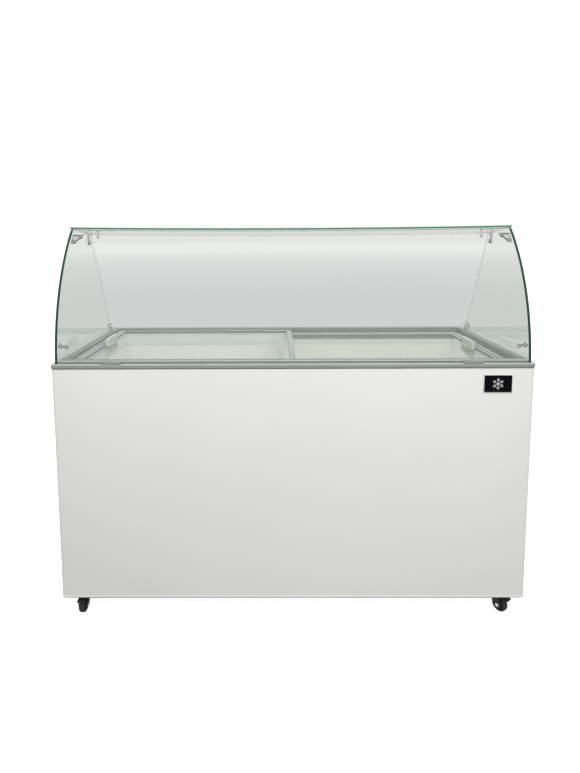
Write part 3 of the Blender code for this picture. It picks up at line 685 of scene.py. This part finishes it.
lidLook = {"edge": 0.0012}
gripLook = {
    "topWidth": 0.70, "topLength": 0.97,                # how much the bar leans in towards its top
    "cornerRound": 0.0062, "topRound": 0.0045, "soften": 0.0006,
    "grooveRadius": 0.0075, "grooveOut": 0.0042, "grooveHeight": 0.010, "grooveEnds": 0.024,
}


def makeLidFrame(side):
    piece = fromNode(side + "_lid_frame", side + "LidFrame", lidLook["edge"], 3)
    settle(piece, side + "_lid", lidPlastic, side + "_lid_frame")


# a rounded bar that leans in towards its top, with a finger groove along its inner side
def makeGrip(side):
    look = gripLook
    low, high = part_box(side + "_lid_handle")
    piece = startBlock(side + "LidGrip", low, high)
    pickFaces(piece, lambda m, n: n.z > 0.9)
    middle = ((low.x + high.x) / 2, (low.y + high.y) / 2, high.z)
    bpy.ops.transform.resize(value=(look["topWidth"], look["topLength"], 1.0), center_override=middle)
    closeEdit()
    roundEdges(piece, look["cornerRound"], 5, lambda m, d, sharp: abs(d.z) > 0.9 and sharp > 0.5)
    roundEdges(piece, look["topRound"], 4, lambda m, d, sharp: m.z > high.z - 0.0005 and sharp > 0.5)
    inner = 1 if side == "left" else -1
    face = high.x if inner > 0 else low.x
    middle = (face + inner * look["grooveOut"], (low.y + high.y) / 2, low.z + look["grooveHeight"])
    length = high.y - low.y - look["grooveEnds"]
    groove = startRod("groove", look["grooveRadius"], middle, "y", length, 24)
    carve(piece, groove)
    softenAll(piece, look["soften"], 2, 50)
    settle(piece, side + "_lid", gripPlastic, side + "_lid_handle", 40)


for side in ("left", "right"):
    makeLidFrame(side)
    makeGrip(side)
print("lids made")

canopyLook = {
    "radius": 0.6125, "centreY": 0.2824, "centreZ": 0.8257, "from": 1.85, "to": 46.6, "steps": 44,
    "thick": 0.006, "halfWidth": 0.744, "border": 0.0060, "sagFrom": 34.0,
    "shelfFront": (-0.135, 1.279), "shelfLength": 0.192, "shelfTilt": 6.5, "sag": 0.0056,
    "shelfOverhang": 0.0035, "shelfParts": 24,
    "sideFoot": 0.8455, "sideBack": ((0.0525, 1.2497), (0.2605, 0.8640), (0.2605, 0.8455)),
}


def arcPoint(degrees, inward=0.0):
    a = math.radians(degrees)
    r = canopyLook["radius"] - inward
    return canopyLook["centreY"] - r * math.cos(a), canopyLook["centreZ"] + r * math.sin(a)


def arcRun(start, stop, inward):
    n = canopyLook["steps"]
    return [arcPoint(start + (stop - start) * i / n, inward) for i in range(n + 1)]


def shelfPoint(back, down):
    y, z = canopyLook["shelfFront"]
    a = math.radians(canopyLook["shelfTilt"])
    return y + back * math.cos(a) - down * math.sin(a), z - back * math.sin(a) - down * math.cos(a)


# give some faces the second finish
def paintFaces(piece, second, test):
    piece.data.materials.append(second)
    slotNumber = len(piece.data.materials) - 1
    pickFaces(piece, test)
    piece.active_material_index = slotNumber
    bpy.ops.object.material_slot_assign()
    closeEdit()


def makeFrontGlass():
    look = canopyLook
    outline = arcRun(look["from"], look["to"], 0.0) + arcRun(look["to"], look["from"], look["thick"])
    piece = slab("bentGlass", outline, "x", -look["halfWidth"], look["halfWidth"])
    half, border = look["halfWidth"], look["border"]
    for side in (-1, 1):
        cutAcross(piece, side * (half - border))
    count = look["shelfParts"]
    for i in range(1, count):
        cutAcross(piece, (2 * i / count - 1) * (half - border))
    # the top of the bend follows the shelf down in the middle
    low, high = arcPoint(look["sagFrom"])[1], arcPoint(look["to"])[1]
    openEdit(piece)
    bm = bmesh.from_edit_mesh(piece.data)
    for vert in bm.verts:
        rise = min(1.0, max(0.0, (vert.co.z - low) / (high - low)))
        vert.co.z -= look["sag"] * (1 - (vert.co.x / half) ** 2) * rise * rise
    bmesh.update_edit_mesh(piece.data)
    closeEdit()
    settle(piece, "cabinet", canopyGlass, "front_glass")
    foot, top = arcPoint(look["from"], look["thick"] / 2), arcPoint(look["to"])

    # the two end borders and the foot look green through their edge
    def dark(m, n):
        return abs(m.x) > half - border or (Vector(m.yz) - Vector(foot)).length < 0.001

    # the top edge under the shelf gets a painted highlight
    def pale(m, n):
        upper = m.y > top[0] - 0.004 and m.z > high - 0.016
        return abs(m.x) < half - border and n.y > 0.3 and n.z > 0.3 and upper

    paintFaces(piece, glassEdge, dark)
    # paints a highlight along the top edge of the bent glass
    paintFaces(piece, paintedEdgeHighlight, pale)


def makeSideGlass(side, sign):
    look = canopyLook
    edge = look["thick"] + 0.0008
    foot = math.degrees(math.asin((look["sideFoot"] - look["centreZ"]) / (look["radius"] - edge)))
    corner = shelfPoint(0.006, look["thick"] + 0.0006)
    outline = arcRun(foot, look["to"] - 0.2, edge) + [corner] + list(look["sideBack"])
    inner, outer = look["halfWidth"] - look["thick"], look["halfWidth"]
    piece = slab(side + "FinGlass", outline, "x", sign * inner, sign * outer)
    settle(piece, "cabinet", sideGlass, side + "_side_glass")
    paintFaces(piece, glassEdge, lambda m, n: abs(n.x) < 0.5 and n.y < 0.2)
    # paints a highlight on the rear edge of the side glass
    paintFaces(piece, paintedEdgeHighlight, lambda m, n: abs(n.x) < 0.5 and n.y >= 0.2)


# the top pane hangs a little in the middle
def makeShelf():
    look = canopyLook
    thick, length = look["thick"], look["shelfLength"]
    outline = [shelfPoint(0.0, 0.0), shelfPoint(length, 0.0), shelfPoint(length, thick),
               shelfPoint(0.0, thick)]
    half = look["halfWidth"] + look["shelfOverhang"]
    piece = slab("shelfGlass", outline, "x", -half, half)
    pickEdges(piece, lambda m, d, sharp: abs(d.x) > 0.9)
    bpy.ops.mesh.subdivide(number_cuts=look["shelfParts"] - 1)
    closeEdit()
    openEdit(piece)
    bm = bmesh.from_edit_mesh(piece.data)
    for vert in bm.verts:
        vert.co.z -= look["sag"] * (1 - (vert.co.x / half) ** 2)
    bmesh.update_edit_mesh(piece.data)
    closeEdit()
    settle(piece, "cabinet", shelfGlass, "top_glass")
    paintFaces(piece, shelfEdge, lambda m, n: abs(n.z) < 0.6)


makeFrontGlass()
makeSideGlass("left", -1)
makeSideGlass("right", 1)
makeShelf()
print("canopy glass made")

lipLook = {"underBelow": 0.8385, "outX": 0.7565, "outY": 0.3355, "topLow": 0.8500, "topHigh": 0.8513,
           "topFront": -0.3300}


# the underside of the rim's lip stays in its own shade
def underLip(m, n):
    outside = abs(m.x) > lipLook["outX"] or abs(m.y) > lipLook["outY"]
    return n.z < -0.35 and m.z < lipLook["underBelow"] and outside


# the flat top of the lip in front of the glass gets a painted highlight in pale seal grey
def lipTop(m, n):
    return n.z > 0.9 and lipLook["topLow"] < m.z < lipLook["topHigh"] and m.y < lipLook["topFront"]


paintFaces(rimRing, rimShadow, underLip)
paintFaces(wrap, hemShade, lambda m, n: m.z < hemTop)      # the folded hem
# paints a highlight along the lip's flat top
paintFaces(rimRing, footSeal, lipTop)


def placeAt(piece, place, turn=(0, 0, 0)):
    piece.rotation_euler = turn
    piece.location = place
    activate(piece)
    bpy.ops.object.transform_apply(location=True, rotation=True, scale=True)
    return piece


# a strip with eased edges, whichever way round its corners are given
def bar(name, low, high, soft=0.0008):
    low, high = [min(a, b) for a, b in zip(low, high)], [max(a, b) for a, b in zip(low, high)]
    return softenAll(startBlock(name, low, high), soft, 2)


# a low screw head with a small dimple
def dome(name, radius, height, middle, along, way=1):
    r, h = radius, height * way
    profile = [(0, 0), (r, 0), (r, h * 0.35), (r * 0.86, h * 0.75), (r * 0.55, h), (r * 0.32, h),
               (r * 0.24, h * 0.55), (0, h * 0.55)]
    return turned(name, profile, middle, along, 20)


def washer(name, inner, outer, height, middle, along, way=1):
    h = height * way
    profile = [(inner, 0), (outer, 0), (outer, h * 0.7), (outer - 0.0003, h), (inner, h)]
    return turned(name, profile, middle, along, 24)


# glazing strips that close the gap behind the foot of the glass, pale enough to paint the highlight along
# the lit ridge there
sealLook = {"front": ((-0.7370, -0.3231, 0.8568), (0.7370, -0.3196, 0.8600)),
            "left": ((-0.7378, -0.3190, 0.8582), (-0.7346, 0.2600, 0.8606)), "soft": 0.0007}
frontSeal = bar("frontSeal", *sealLook["front"], sealLook["soft"])
settle(frontSeal, "cabinet", footSeal)
leftSeal = bar("leftSeal", *sealLook["left"], sealLook["soft"])
settle(leftSeal, "cabinet", footSeal)
settle(twin(leftSeal, "rightSeal", mirrorX), "cabinet", footSeal)

bracketLook = {
    "wall": 0.7374, "under": 0.0063, "armWidth": 0.012, "armThick": 0.004,
    "armRun": (0.003, 0.174), "crossRun": (0.153, 0.173), "crossWidth": (0.006, 0.042),
    "crossDown": (0.0004, 0.0034),
    "legThick": (0.0003, 0.0040), "soften": 0.0008,
    "backPad": ((0.0147, 1.2146), (0.0358, 1.2500)),
    "gripStrip": ((0.0050, -0.0004, -0.0062), (0.0325, 0.0002, -0.0030)),
    "legOutline": ((0.0160, 1.2522), (0.0345, 1.2522), (0.0345, 1.2240), (0.0300, 1.2160), (0.0210, 1.2160),
                   (0.0160, 1.2240)),
    "legScrew": (0.0255, 1.2235), "hangAt": (0.033, 0.026),
    "hangProfile": ((0, 1.2530), (0.0030, 1.2530), (0.0030, 1.2455), (0.0062, 1.2440), (0.0062, 1.2405),
                    (0.0035, 1.2385), (0.0018, 1.2365), (0.0018, 1.2350), (0, 1.2350)),
    "gripPlate": ((0.0035, 0.0), (0.034, 0.0), (0.0355, -0.004), (0.034, -0.013), (0.027, -0.016),
                  (0.019, -0.028), (0.016, -0.036), (0.008, -0.0375), (0.004, -0.033)),
    "gripScrews": ((0.0110, -0.0295), (0.0285, -0.0090)), "gripTop": 44.9, "gripLean": 43.2,
}


def leftBracket():
    look = bracketLook
    wall, under = look["wall"], look["under"]

    # a flat strip that follows the slope of the shelf
    def strip(name, run, down, across):
        start, stop = run
        upper, lower = under + down[0], under + down[1]
        outline = [shelfPoint(start, upper), shelfPoint(stop, upper), shelfPoint(stop, lower),
                   shelfPoint(start, lower)]
        return slab(name, outline, "x", -wall + across[0], -wall + across[1])

    arm = strip("arm", look["armRun"], (0.0, look["armThick"]), (0.0, look["armWidth"]))
    cross = strip("cross", look["crossRun"], look["crossDown"], look["crossWidth"])
    back, face = (-wall + x for x in look["legThick"])
    leg = slab("leg", look["legOutline"], "x", back, face)
    metal = [softenAll(part, look["soften"], 2) for part in (arm, cross, leg)]
    screw = (face, *look["legScrew"])
    metal.append(dome("legScrew", 0.0056, 0.0045, screw, "x"))
    inset, y = look["hangAt"]
    metal.append(turned("hang", look["hangProfile"], (-wall + inset, y, 0.0), "z", 20))
    # dark pads behind the chrome, grown out past its edges so their rims paint a dark outline like the
    # reflection along chrome edges
    low, high = look["backPad"]
    outlinePads = [startBlock("legBack", (-wall - 0.0004, *low), (-wall + 0.0004, *high)),
            washer("hangPad", 0.0032, 0.0074, 0.0010, (-wall + inset, y, 1.2441), "z"),
            washer("legPad", 0.0052, 0.0070, 0.0009, screw, "x")]
    top = arcPoint(look["gripTop"], 0.0072)
    lean = (-math.radians(look["gripLean"]), 0, 0)
    # the pad behind the grip plate is grown out past it to paint a dark outline round the plate
    grown = [(x + (0.0017 if x > 0.015 else -0.0015), v + (0.0015 if v > -0.01 else -0.0018))
             for x, v in look["gripPlate"]]
    plate = softenAll(slab("gripPlate", look["gripPlate"], "y", 0.0, 0.0022), 0.0006, 2)
    back = slab("gripPad", grown, "y", 0.0022, 0.0036)
    place = (-wall, *top)
    metal.append(placeAt(plate, place, lean))
    outlinePads.append(placeAt(back, place, lean))
    outlinePads.append(placeAt(startBlock("gripStrip", *look["gripStrip"]), place, lean))
    for x, v in look["gripScrews"]:
        metal.append(placeAt(dome("gripScrew", 0.0048, 0.0035, (x, 0.0036, v), "y"), place, lean))
        outlinePads.append(placeAt(washer("gripRing", 0.0034, 0.0056, 0.0005, (x, 0.0, v), "y", -1), place, lean))
    return joinPieces(metal, "leftBracket"), joinPieces(outlinePads, "leftBracketPads")


frontClipLook = {"height": 0.903, "angle": 8.3, "gap": 0.0012, "footBack": 0.025,
                 "toes": ((0.0095, 0.0008), (0.0290, -0.0008))}


# two round feet joined by a thin bar, one on the bent glass and one on the side glass
def leftFrontClip():
    look = frontClipLook
    wall = bracketLook["wall"]
    face = arcPoint(look["angle"], canopyLook["thick"])[0] + look["gap"]
    z = look["height"]
    foot = face + look["footBack"]
    metal = [bar("clipBar", (-wall, face, z - 0.0018), (-wall + 0.0030, face + 0.026, z + 0.0018)),
             bar("clipArm", (-wall, face, z - 0.0016), (-wall + 0.028, face + 0.0026, z + 0.0020)),
             dome("clipFoot", 0.0062, 0.0034, (-wall + 0.0012, foot, z), "x")]
    # dark rings and a strip under the chrome feet and arm, whose rims paint a dark outline round them
    outlinePads = [washer("footRing", 0.0054, 0.0072, 0.0012, (-wall, foot, z), "x"),
            bar("armPad", (-wall + 0.004, face + 0.0024, z - 0.0032),
                (-wall + 0.0300, face + 0.0032, z + 0.0036), 0.0002)]
    for inset, rise in look["toes"]:
        metal.append(dome("clipToe", 0.0056, 0.0044, (-wall + inset, face + 0.0004, z + rise), "y"))
        under = (-wall + inset, face - 0.0004, z + rise)
        outlinePads.append(washer("toeRing", 0.0042, 0.0062, 0.0010, under, "y"))
    return joinPieces(metal, "leftFrontClip"), joinPieces(outlinePads, "leftFrontClipPads")


rearClipLook = {"flangeScrew": (0.0150, 0.003),
                "uprightRing": (0.0050, 0.016)}      # in from the wall, and up


def leftRearClip():
    wall = bracketLook["wall"]
    piece = fromNode("rear_clip_left", "leftRearClip", 0.0009, 2)
    low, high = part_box("rear_clip_left")
    middle = (low.y + high.y) / 2
    inset, rise = rearClipLook["flangeScrew"]
    flange = (-wall + inset, middle, low.z + rise)
    inset, rise = rearClipLook["uprightRing"]
    upright = (-wall + inset, middle, low.z + rise)
    screw = dome("flangeScrew", 0.0060, 0.0040, flange, "z")
    piece = joinPieces([piece, screw], "leftRearClip")
    # a dark pad and rings under the rear clip, whose rims paint a dark outline round it
    outlinePads = [bar("rearPad", (-wall - 0.0004, low.y - 0.0016, low.z + 0.003),
                (-wall + 0.0006, high.y + 0.0016, high.z + 0.0018), 0.0003),
            washer("flangeRing", 0.0058, 0.0082, 0.0008, flange, "z"),
            washer("rearRing", 0.0066, 0.0084, 0.0008, upright, "x")]
    return piece, joinPieces(outlinePads, "leftRearClipPads")


for maker, node in ((leftBracket, "top_bracket"), (leftFrontClip, "front_clip"),
                    (leftRearClip, "rear_clip")):
    metal, outlinePads = maker()
    settle(metal, "cabinet", chromePlate, node + "_left", 40)
    # the dark pads, whose rims paint a dark outline round the chrome
    settle(outlinePads, "cabinet", padsWithPaintedOutline, smooth=40)
    other = metal.name.replace("left", "right")
    settle(twin(metal, other, mirrorX), "cabinet", chromePlate, node + "_right", 40)
    settle(twin(outlinePads, other + "Pads", mirrorX), "cabinet", padsWithPaintedOutline, smooth=40)
for side in ("left", "right"):
    clamp = fromNode("glass_clamp_" + side, side + "GlassClamp", 0.0009, 2)
    settle(clamp, "cabinet", rimPlastic, "glass_clamp_" + side)
print("glass fittings made")

badgeLook = {"border": 0.0009, "flake": 0.019, "arm": 0.0016, "twigLength": 0.34, "twigAt": 0.52,
             "twigLean": 52}


# a black plate with a thin white edge and a plain snow star
def makeBadge():
    low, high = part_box("badge_plate")
    plate = fromNode("badge_plate", "badgePlate", 0.0004, 2)
    settle(plate, "cabinet", badgeBlack, "badge_plate")
    front, w = low.y - 0.0002, badgeLook["border"]
    back = low.y + 0.0005
    rails = [((low.x, front, low.z), (high.x, back, low.z + w)),
             ((low.x, front, high.z - w), (high.x, back, high.z)),
             ((low.x, front, low.z + w), (low.x + w, back, high.z - w)),
             ((high.x - w, front, low.z + w), (high.x, back, high.z - w))]
    parts = [startBlock("rail", *ends) for ends in rails]
    middle = ((low.x + high.x) / 2, low.y - 0.0001, (low.z + high.z) / 2)
    reach, arm = badgeLook["flake"], badgeLook["arm"]
    for i in range(6):
        turn = (0, math.radians(60 * i), 0)
        spoke = startBlock("arm", (-arm / 2, -0.0001, 0.0), (arm / 2, 0.0004, reach))
        parts.append(placeAt(spoke, middle, turn))
        for lean in (-1, 1):
            twig = startBlock("twig", (-arm / 2.6, -0.0001, 0.0),
                              (arm / 2.6, 0.0004, reach * badgeLook["twigLength"]))
            placeAt(twig, (0, 0, reach * badgeLook["twigAt"]),
                    (0, math.radians(badgeLook["twigLean"] * lean), 0))
            parts.append(placeAt(twig, middle, turn))
    settle(joinPieces(parts, "badgePrint"), "cabinet", whitePrint)


makeBadge()

castorLook = {
    "place": (-0.698, -0.280), "trail": 0.020, "radius": 0.025, "boltSpread": 0.0225,
    "corners": {"fr": (0.681946, -0.280, 35.0), "rl": (-0.698, 0.280, 160.0),
                "rr": (0.681946, 0.280, 197.0)},
    "tyre": ((0.0165, -0.0076), (0.0182, -0.0098), (0.0205, -0.0104), (0.0232, -0.0088), (0.0250, -0.0058),
             (0.0250, 0.0058), (0.0232, 0.0088), (0.0205, 0.0104), (0.0182, 0.0098), (0.0165, 0.0076)),
    "hub": ((0.0043, -0.0114), (0.0088, -0.0114), (0.0096, -0.0100), (0.0104, -0.0066), (0.0158, -0.0060),
            (0.0170, -0.0082), (0.0170, 0.0082), (0.0158, 0.0060), (0.0104, 0.0066), (0.0096, 0.0100),
            (0.0088, 0.0114), (0.0043, 0.0114)),
}


# the front left castor is modelled and the other three are turned copies
def makeCastors():
    look = castorLook
    x, y = look["place"]
    hub = (x, y - look["trail"], look["radius"])
    wheel = [turned("tyre", look["tyre"], hub, "x", 56), turned("hub", look["hub"], hub, "x", 40)]
    wheel = joinPieces(wheel, "casterWheelFl")
    fork = fromNode("caster_fork_fl", "casterForkFl", 0.0007, 2)
    king = dome("kingBolt", 0.0070, 0.0040, (x, y, 0.0592), "z", -1)
    fork = joinPieces([fork, king], "casterForkFl")
    axle = fromNode("caster_axle_fl", "casterAxleFl", 0.0008, 3)
    plate = fromNode("caster_plate_fl", "casterPlateFl", 0.0008, 2)
    spread = (-look["boltSpread"], look["boltSpread"])
    bolts = [dome("plateBolt", 0.0045, 0.0032, (x + dx, y + dy, 0.0668), "z", -1)
             for dx in spread for dy in spread]
    plate = joinPieces([plate] + bolts, "casterPlateFl")
    kinds = (("wheel", wheel, "caster_wheel_", blackRubber, "wheel_black"),
             ("fork", fork, "caster_swivel_", blackPaint, "compressor_black"),
             ("axle", axle, "caster_swivel_", chromePlate, "zinc"),
             ("plate", plate, "cabinet", blackPaint, "compressor_black"))
    home = Matrix.Translation((-x, -y, 0))
    copies = {"fl": {kind: piece for kind, piece, *rest in kinds}}
    for corner, (cx, cy, turn) in look["corners"].items():
        copies[corner] = {}
        for kind, piece, *rest in kinds:
            spin = Matrix.Rotation(math.radians(turn if kind != "plate" else 0.0), 4, "Z")
            name = "caster" + kind.capitalize() + corner.capitalize()
            copies[corner][kind] = twin(piece, name, Matrix.Translation((cx, cy, 0)) @ spin @ home)
    for corner, pieces in copies.items():
        for kind, model, body, finish, slot in kinds:
            rides = body + corner if body.endswith("_") else body
            settle(pieces[kind], rides, finish, f"caster_{kind}_{corner}", 40)
    for corner in ("fl", "fr"):
        pedal = fromNode("brake_pedal_" + corner, "brakePedal" + corner.capitalize(), 0.0007, 2)
        settle(pedal, "brake_" + corner, blackPlastic, "brake_pedal_" + corner)


makeCastors()
print("badge and castors made")

# machine bay and back
compressorLook = {
    "centre": (0.590, -0.085), "foot": 0.0813,
    "can": ((0, 0.004), (0.050, 0.006), (0.066, 0.013), (0.076, 0.028), (0.0795, 0.048), (0.0800, 0.076),
            (0.0812, 0.0775), (0.0812, 0.0815), (0.0800, 0.083), (0.0785, 0.110), (0.073, 0.131),
            (0.060, 0.147), (0.038, 0.158), (0.016, 0.1625), (0, 0.163)),
}


def makeCompressor():
    look = compressorLook
    x, y = look["centre"]
    z = look["foot"]
    can = turned("can", [(r, h + z) for r, h in look["can"]], (x, y, 0.0), "z", 48)
    base = startBlock("base", (x - 0.090, y - 0.070, z), (x + 0.090, y + 0.070, z + 0.004))
    roundEdges(base, 0.014, 4, lambda m, d, sharp: abs(d.z) > 0.9)
    softenAll(base, 0.0008, 2)
    cover = softenAll(startBlock("cover", (x + 0.070, y - 0.025, z + 0.050),
                                 (x + 0.099, y + 0.025, z + 0.110)), 0.004, 3)
    stub = turned("stub", [(0, 0.0), (0.004, 0.0), (0.004, 0.034), (0, 0.034)], (x - 0.040, y, z + 0.146),
                  "z", 16)
    foot = [(0, 0), (0.010, 0), (0.011, 0.003), (0.008, 0.007), (0.008, 0.010), (0, 0.010)]
    feet = [turned("grommet", foot, (x + dx, y + dy, z + 0.003), "z", 16)
            for dx in (-0.076, 0.076) for dy in (-0.056, 0.056)]
    whole = joinPieces([can, base, cover, stub] + feet, "compressorCan")
    settle(whole, "cabinet", blackPaint, "compressor")


makeCompressor()
wireLook = {"count": 22, "from": 0.482, "run": 0.2215, "rows": (0.1550, 0.1450), "middle": 0.1975,
            "length": 0.212, "radius": 0.0009}
coil = fromNode("condenser_coil", "condenserCoil")
wires = []
for i in range(wireLook["count"]):
    x = wireLook["from"] + wireLook["run"] * i / (wireLook["count"] - 1)
    middle = (x, wireLook["rows"][i % 2], wireLook["middle"])
    wires.append(startRod("wire", wireLook["radius"], middle, "z", wireLook["length"], 6))
settle(joinPieces([coil] + wires, "condenserCoil"), "cabinet", blackPaint,
       "condenser_coil", 50)

dialLook = {"ticks": 7, "first": -135, "last": 135, "inner": 0.0190, "outer": 0.0225,
            "flutes": 18, "fluteAt": 0.0146, "fluteRadius": 0.0010}


# a recessed tray with a dial scale, a knob with a pointer line and a ringed lamp
def makeControls():
    tray = fromNode("control_panel", "controlTray", 0.0007, 2)
    settle(tray, "cabinet", panelPlastic, "control_panel")
    low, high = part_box("thermostat_knob")
    x, z = (low.x + high.x) / 2, (low.z + high.z) / 2
    marks = []
    for i in range(dialLook["ticks"]):
        step = (dialLook["last"] - dialLook["first"]) * i / (dialLook["ticks"] - 1)
        a = math.radians(dialLook["first"] + step)
        mark = startBlock("tick", (-0.0005, -0.0002, dialLook["inner"]),
                          (0.0005, 0.0002, dialLook["outer"]))
        marks.append(placeAt(mark, (x, low.y - 0.0001, z), (0, a, 0)))
    settle(joinPieces(marks, "dialScale"), "cabinet", blackPlastic)
    knob = fromNode("thermostat_knob", "thermostatKnob", 0.0007, 3)
    ring = dialLook["fluteAt"]
    for i in range(dialLook["flutes"]):
        a = 2 * math.pi * i / dialLook["flutes"]
        middle = (x + ring * math.cos(a), (low.y + high.y) / 2 + 0.0045, z + ring * math.sin(a))
        carve(knob, startRod("flute", dialLook["fluteRadius"], middle, "y", 0.012, 8))
    settle(knob, "thermostat", blackPlastic, "thermostat_knob")
    pointer = startBlock("knobPointer", (x - 0.0006, high.y - 0.0012, z + 0.0045),
                         (x + 0.0006, high.y - 0.0004, z + 0.0115))
    settle(softenAll(pointer, 0.0002, 1), "thermostat", whitePrint)
    low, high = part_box("power_lamp")
    x, z = (low.x + high.x) / 2, (low.z + high.z) / 2
    lamp = fromNode("power_lamp", "powerLamp", 0.0005, 2)
    settle(lamp, "cabinet", lampGreen, "power_lamp")
    settle(washer("lampRing", 0.0078, 0.0105, 0.0022, (x, low.y, z), "y"), "cabinet", chromePlate)


makeControls()
gland = fromNode("cable_gland", "cableGland", 0.0004, 2)
settle(gland, "cabinet", blackPlastic, "cable_gland")
settle(fromNode("rear_grille", "rearGrille", 0.0006, 2), "cabinet", panelPlastic,
       "rear_grille")
smallParts = (
    ("base_pan", "basePan", 0.0006, zincPlate, "zinc", "cabinet"),
    ("compressor_tray", "compressorTray", 0.0006, zincPlate, "zinc", "cabinet"),
    ("fan_bracket", "fanBracket", 0.0004, zincPlate, "zinc", "cabinet"),
    ("fan_motor", "fanMotor", 0.0010, blackPlastic, "black_plastic", "cabinet"),
    ("fan_blade", "fanBlade", 0.0003, fanMetal, "fan_metal", "fan"),
    ("filter_drier", "filterDrier", 0.0008, copperPipe, "copper", "cabinet"),
    ("drain_pipe", "drainPipe", 0.0005, blackPlastic, "black_plastic", "cabinet"),
    ("drain_plug", "drainPlug", 0.0008, blackRubber, "black_plastic", "drain_plug"),
)
for node, name, width, finish, slot, body in smallParts:
    settle(fromNode(node, name, width, 2), body, finish, node, 40)

# screws that hold the back sheet
screwLook = {"xs": (-0.72, -0.48, -0.24, 0.0, 0.24, 0.72), "zs": (0.095, 0.45, 0.812), "face": 0.3350,
             "radius": 0.0042, "height": 0.0018}


def backScrews():
    places = [(x, z) for x in screwLook["xs"] for z in screwLook["zs"]]
    # no screw through the grille's corner, and only the outer ones at half height
    places = [(x, z) for x, z in places if not (x == 0.72 and z < 0.4) and not (z == 0.45 and abs(x) < 0.7)]
    firstX, firstZ = places[0]
    middle = (firstX, screwLook["face"], firstZ)
    first = dome("backScrew", screwLook["radius"], screwLook["height"], middle, "y")
    heads = [twin(first, "backScrew", Matrix.Translation((x - firstX, 0, z - firstZ)))
             for x, z in places[1:]]
    return joinPieces([first] + heads, "backScrews")


settle(backScrews(), "cabinet", zincPlate, smooth=40)
print("machine bay and back made")

# these keep their own shape and only get a finish
plainParts = {"foam_insulation": foamCore, "left_lid_glass": lidGlass, "right_lid_glass": lidGlass,
              "evaporator_coil": copperPipe}
for name, finish in plainParts.items():
    nodes[name].data.materials.clear()
    nodes[name].data.materials.append(finish)
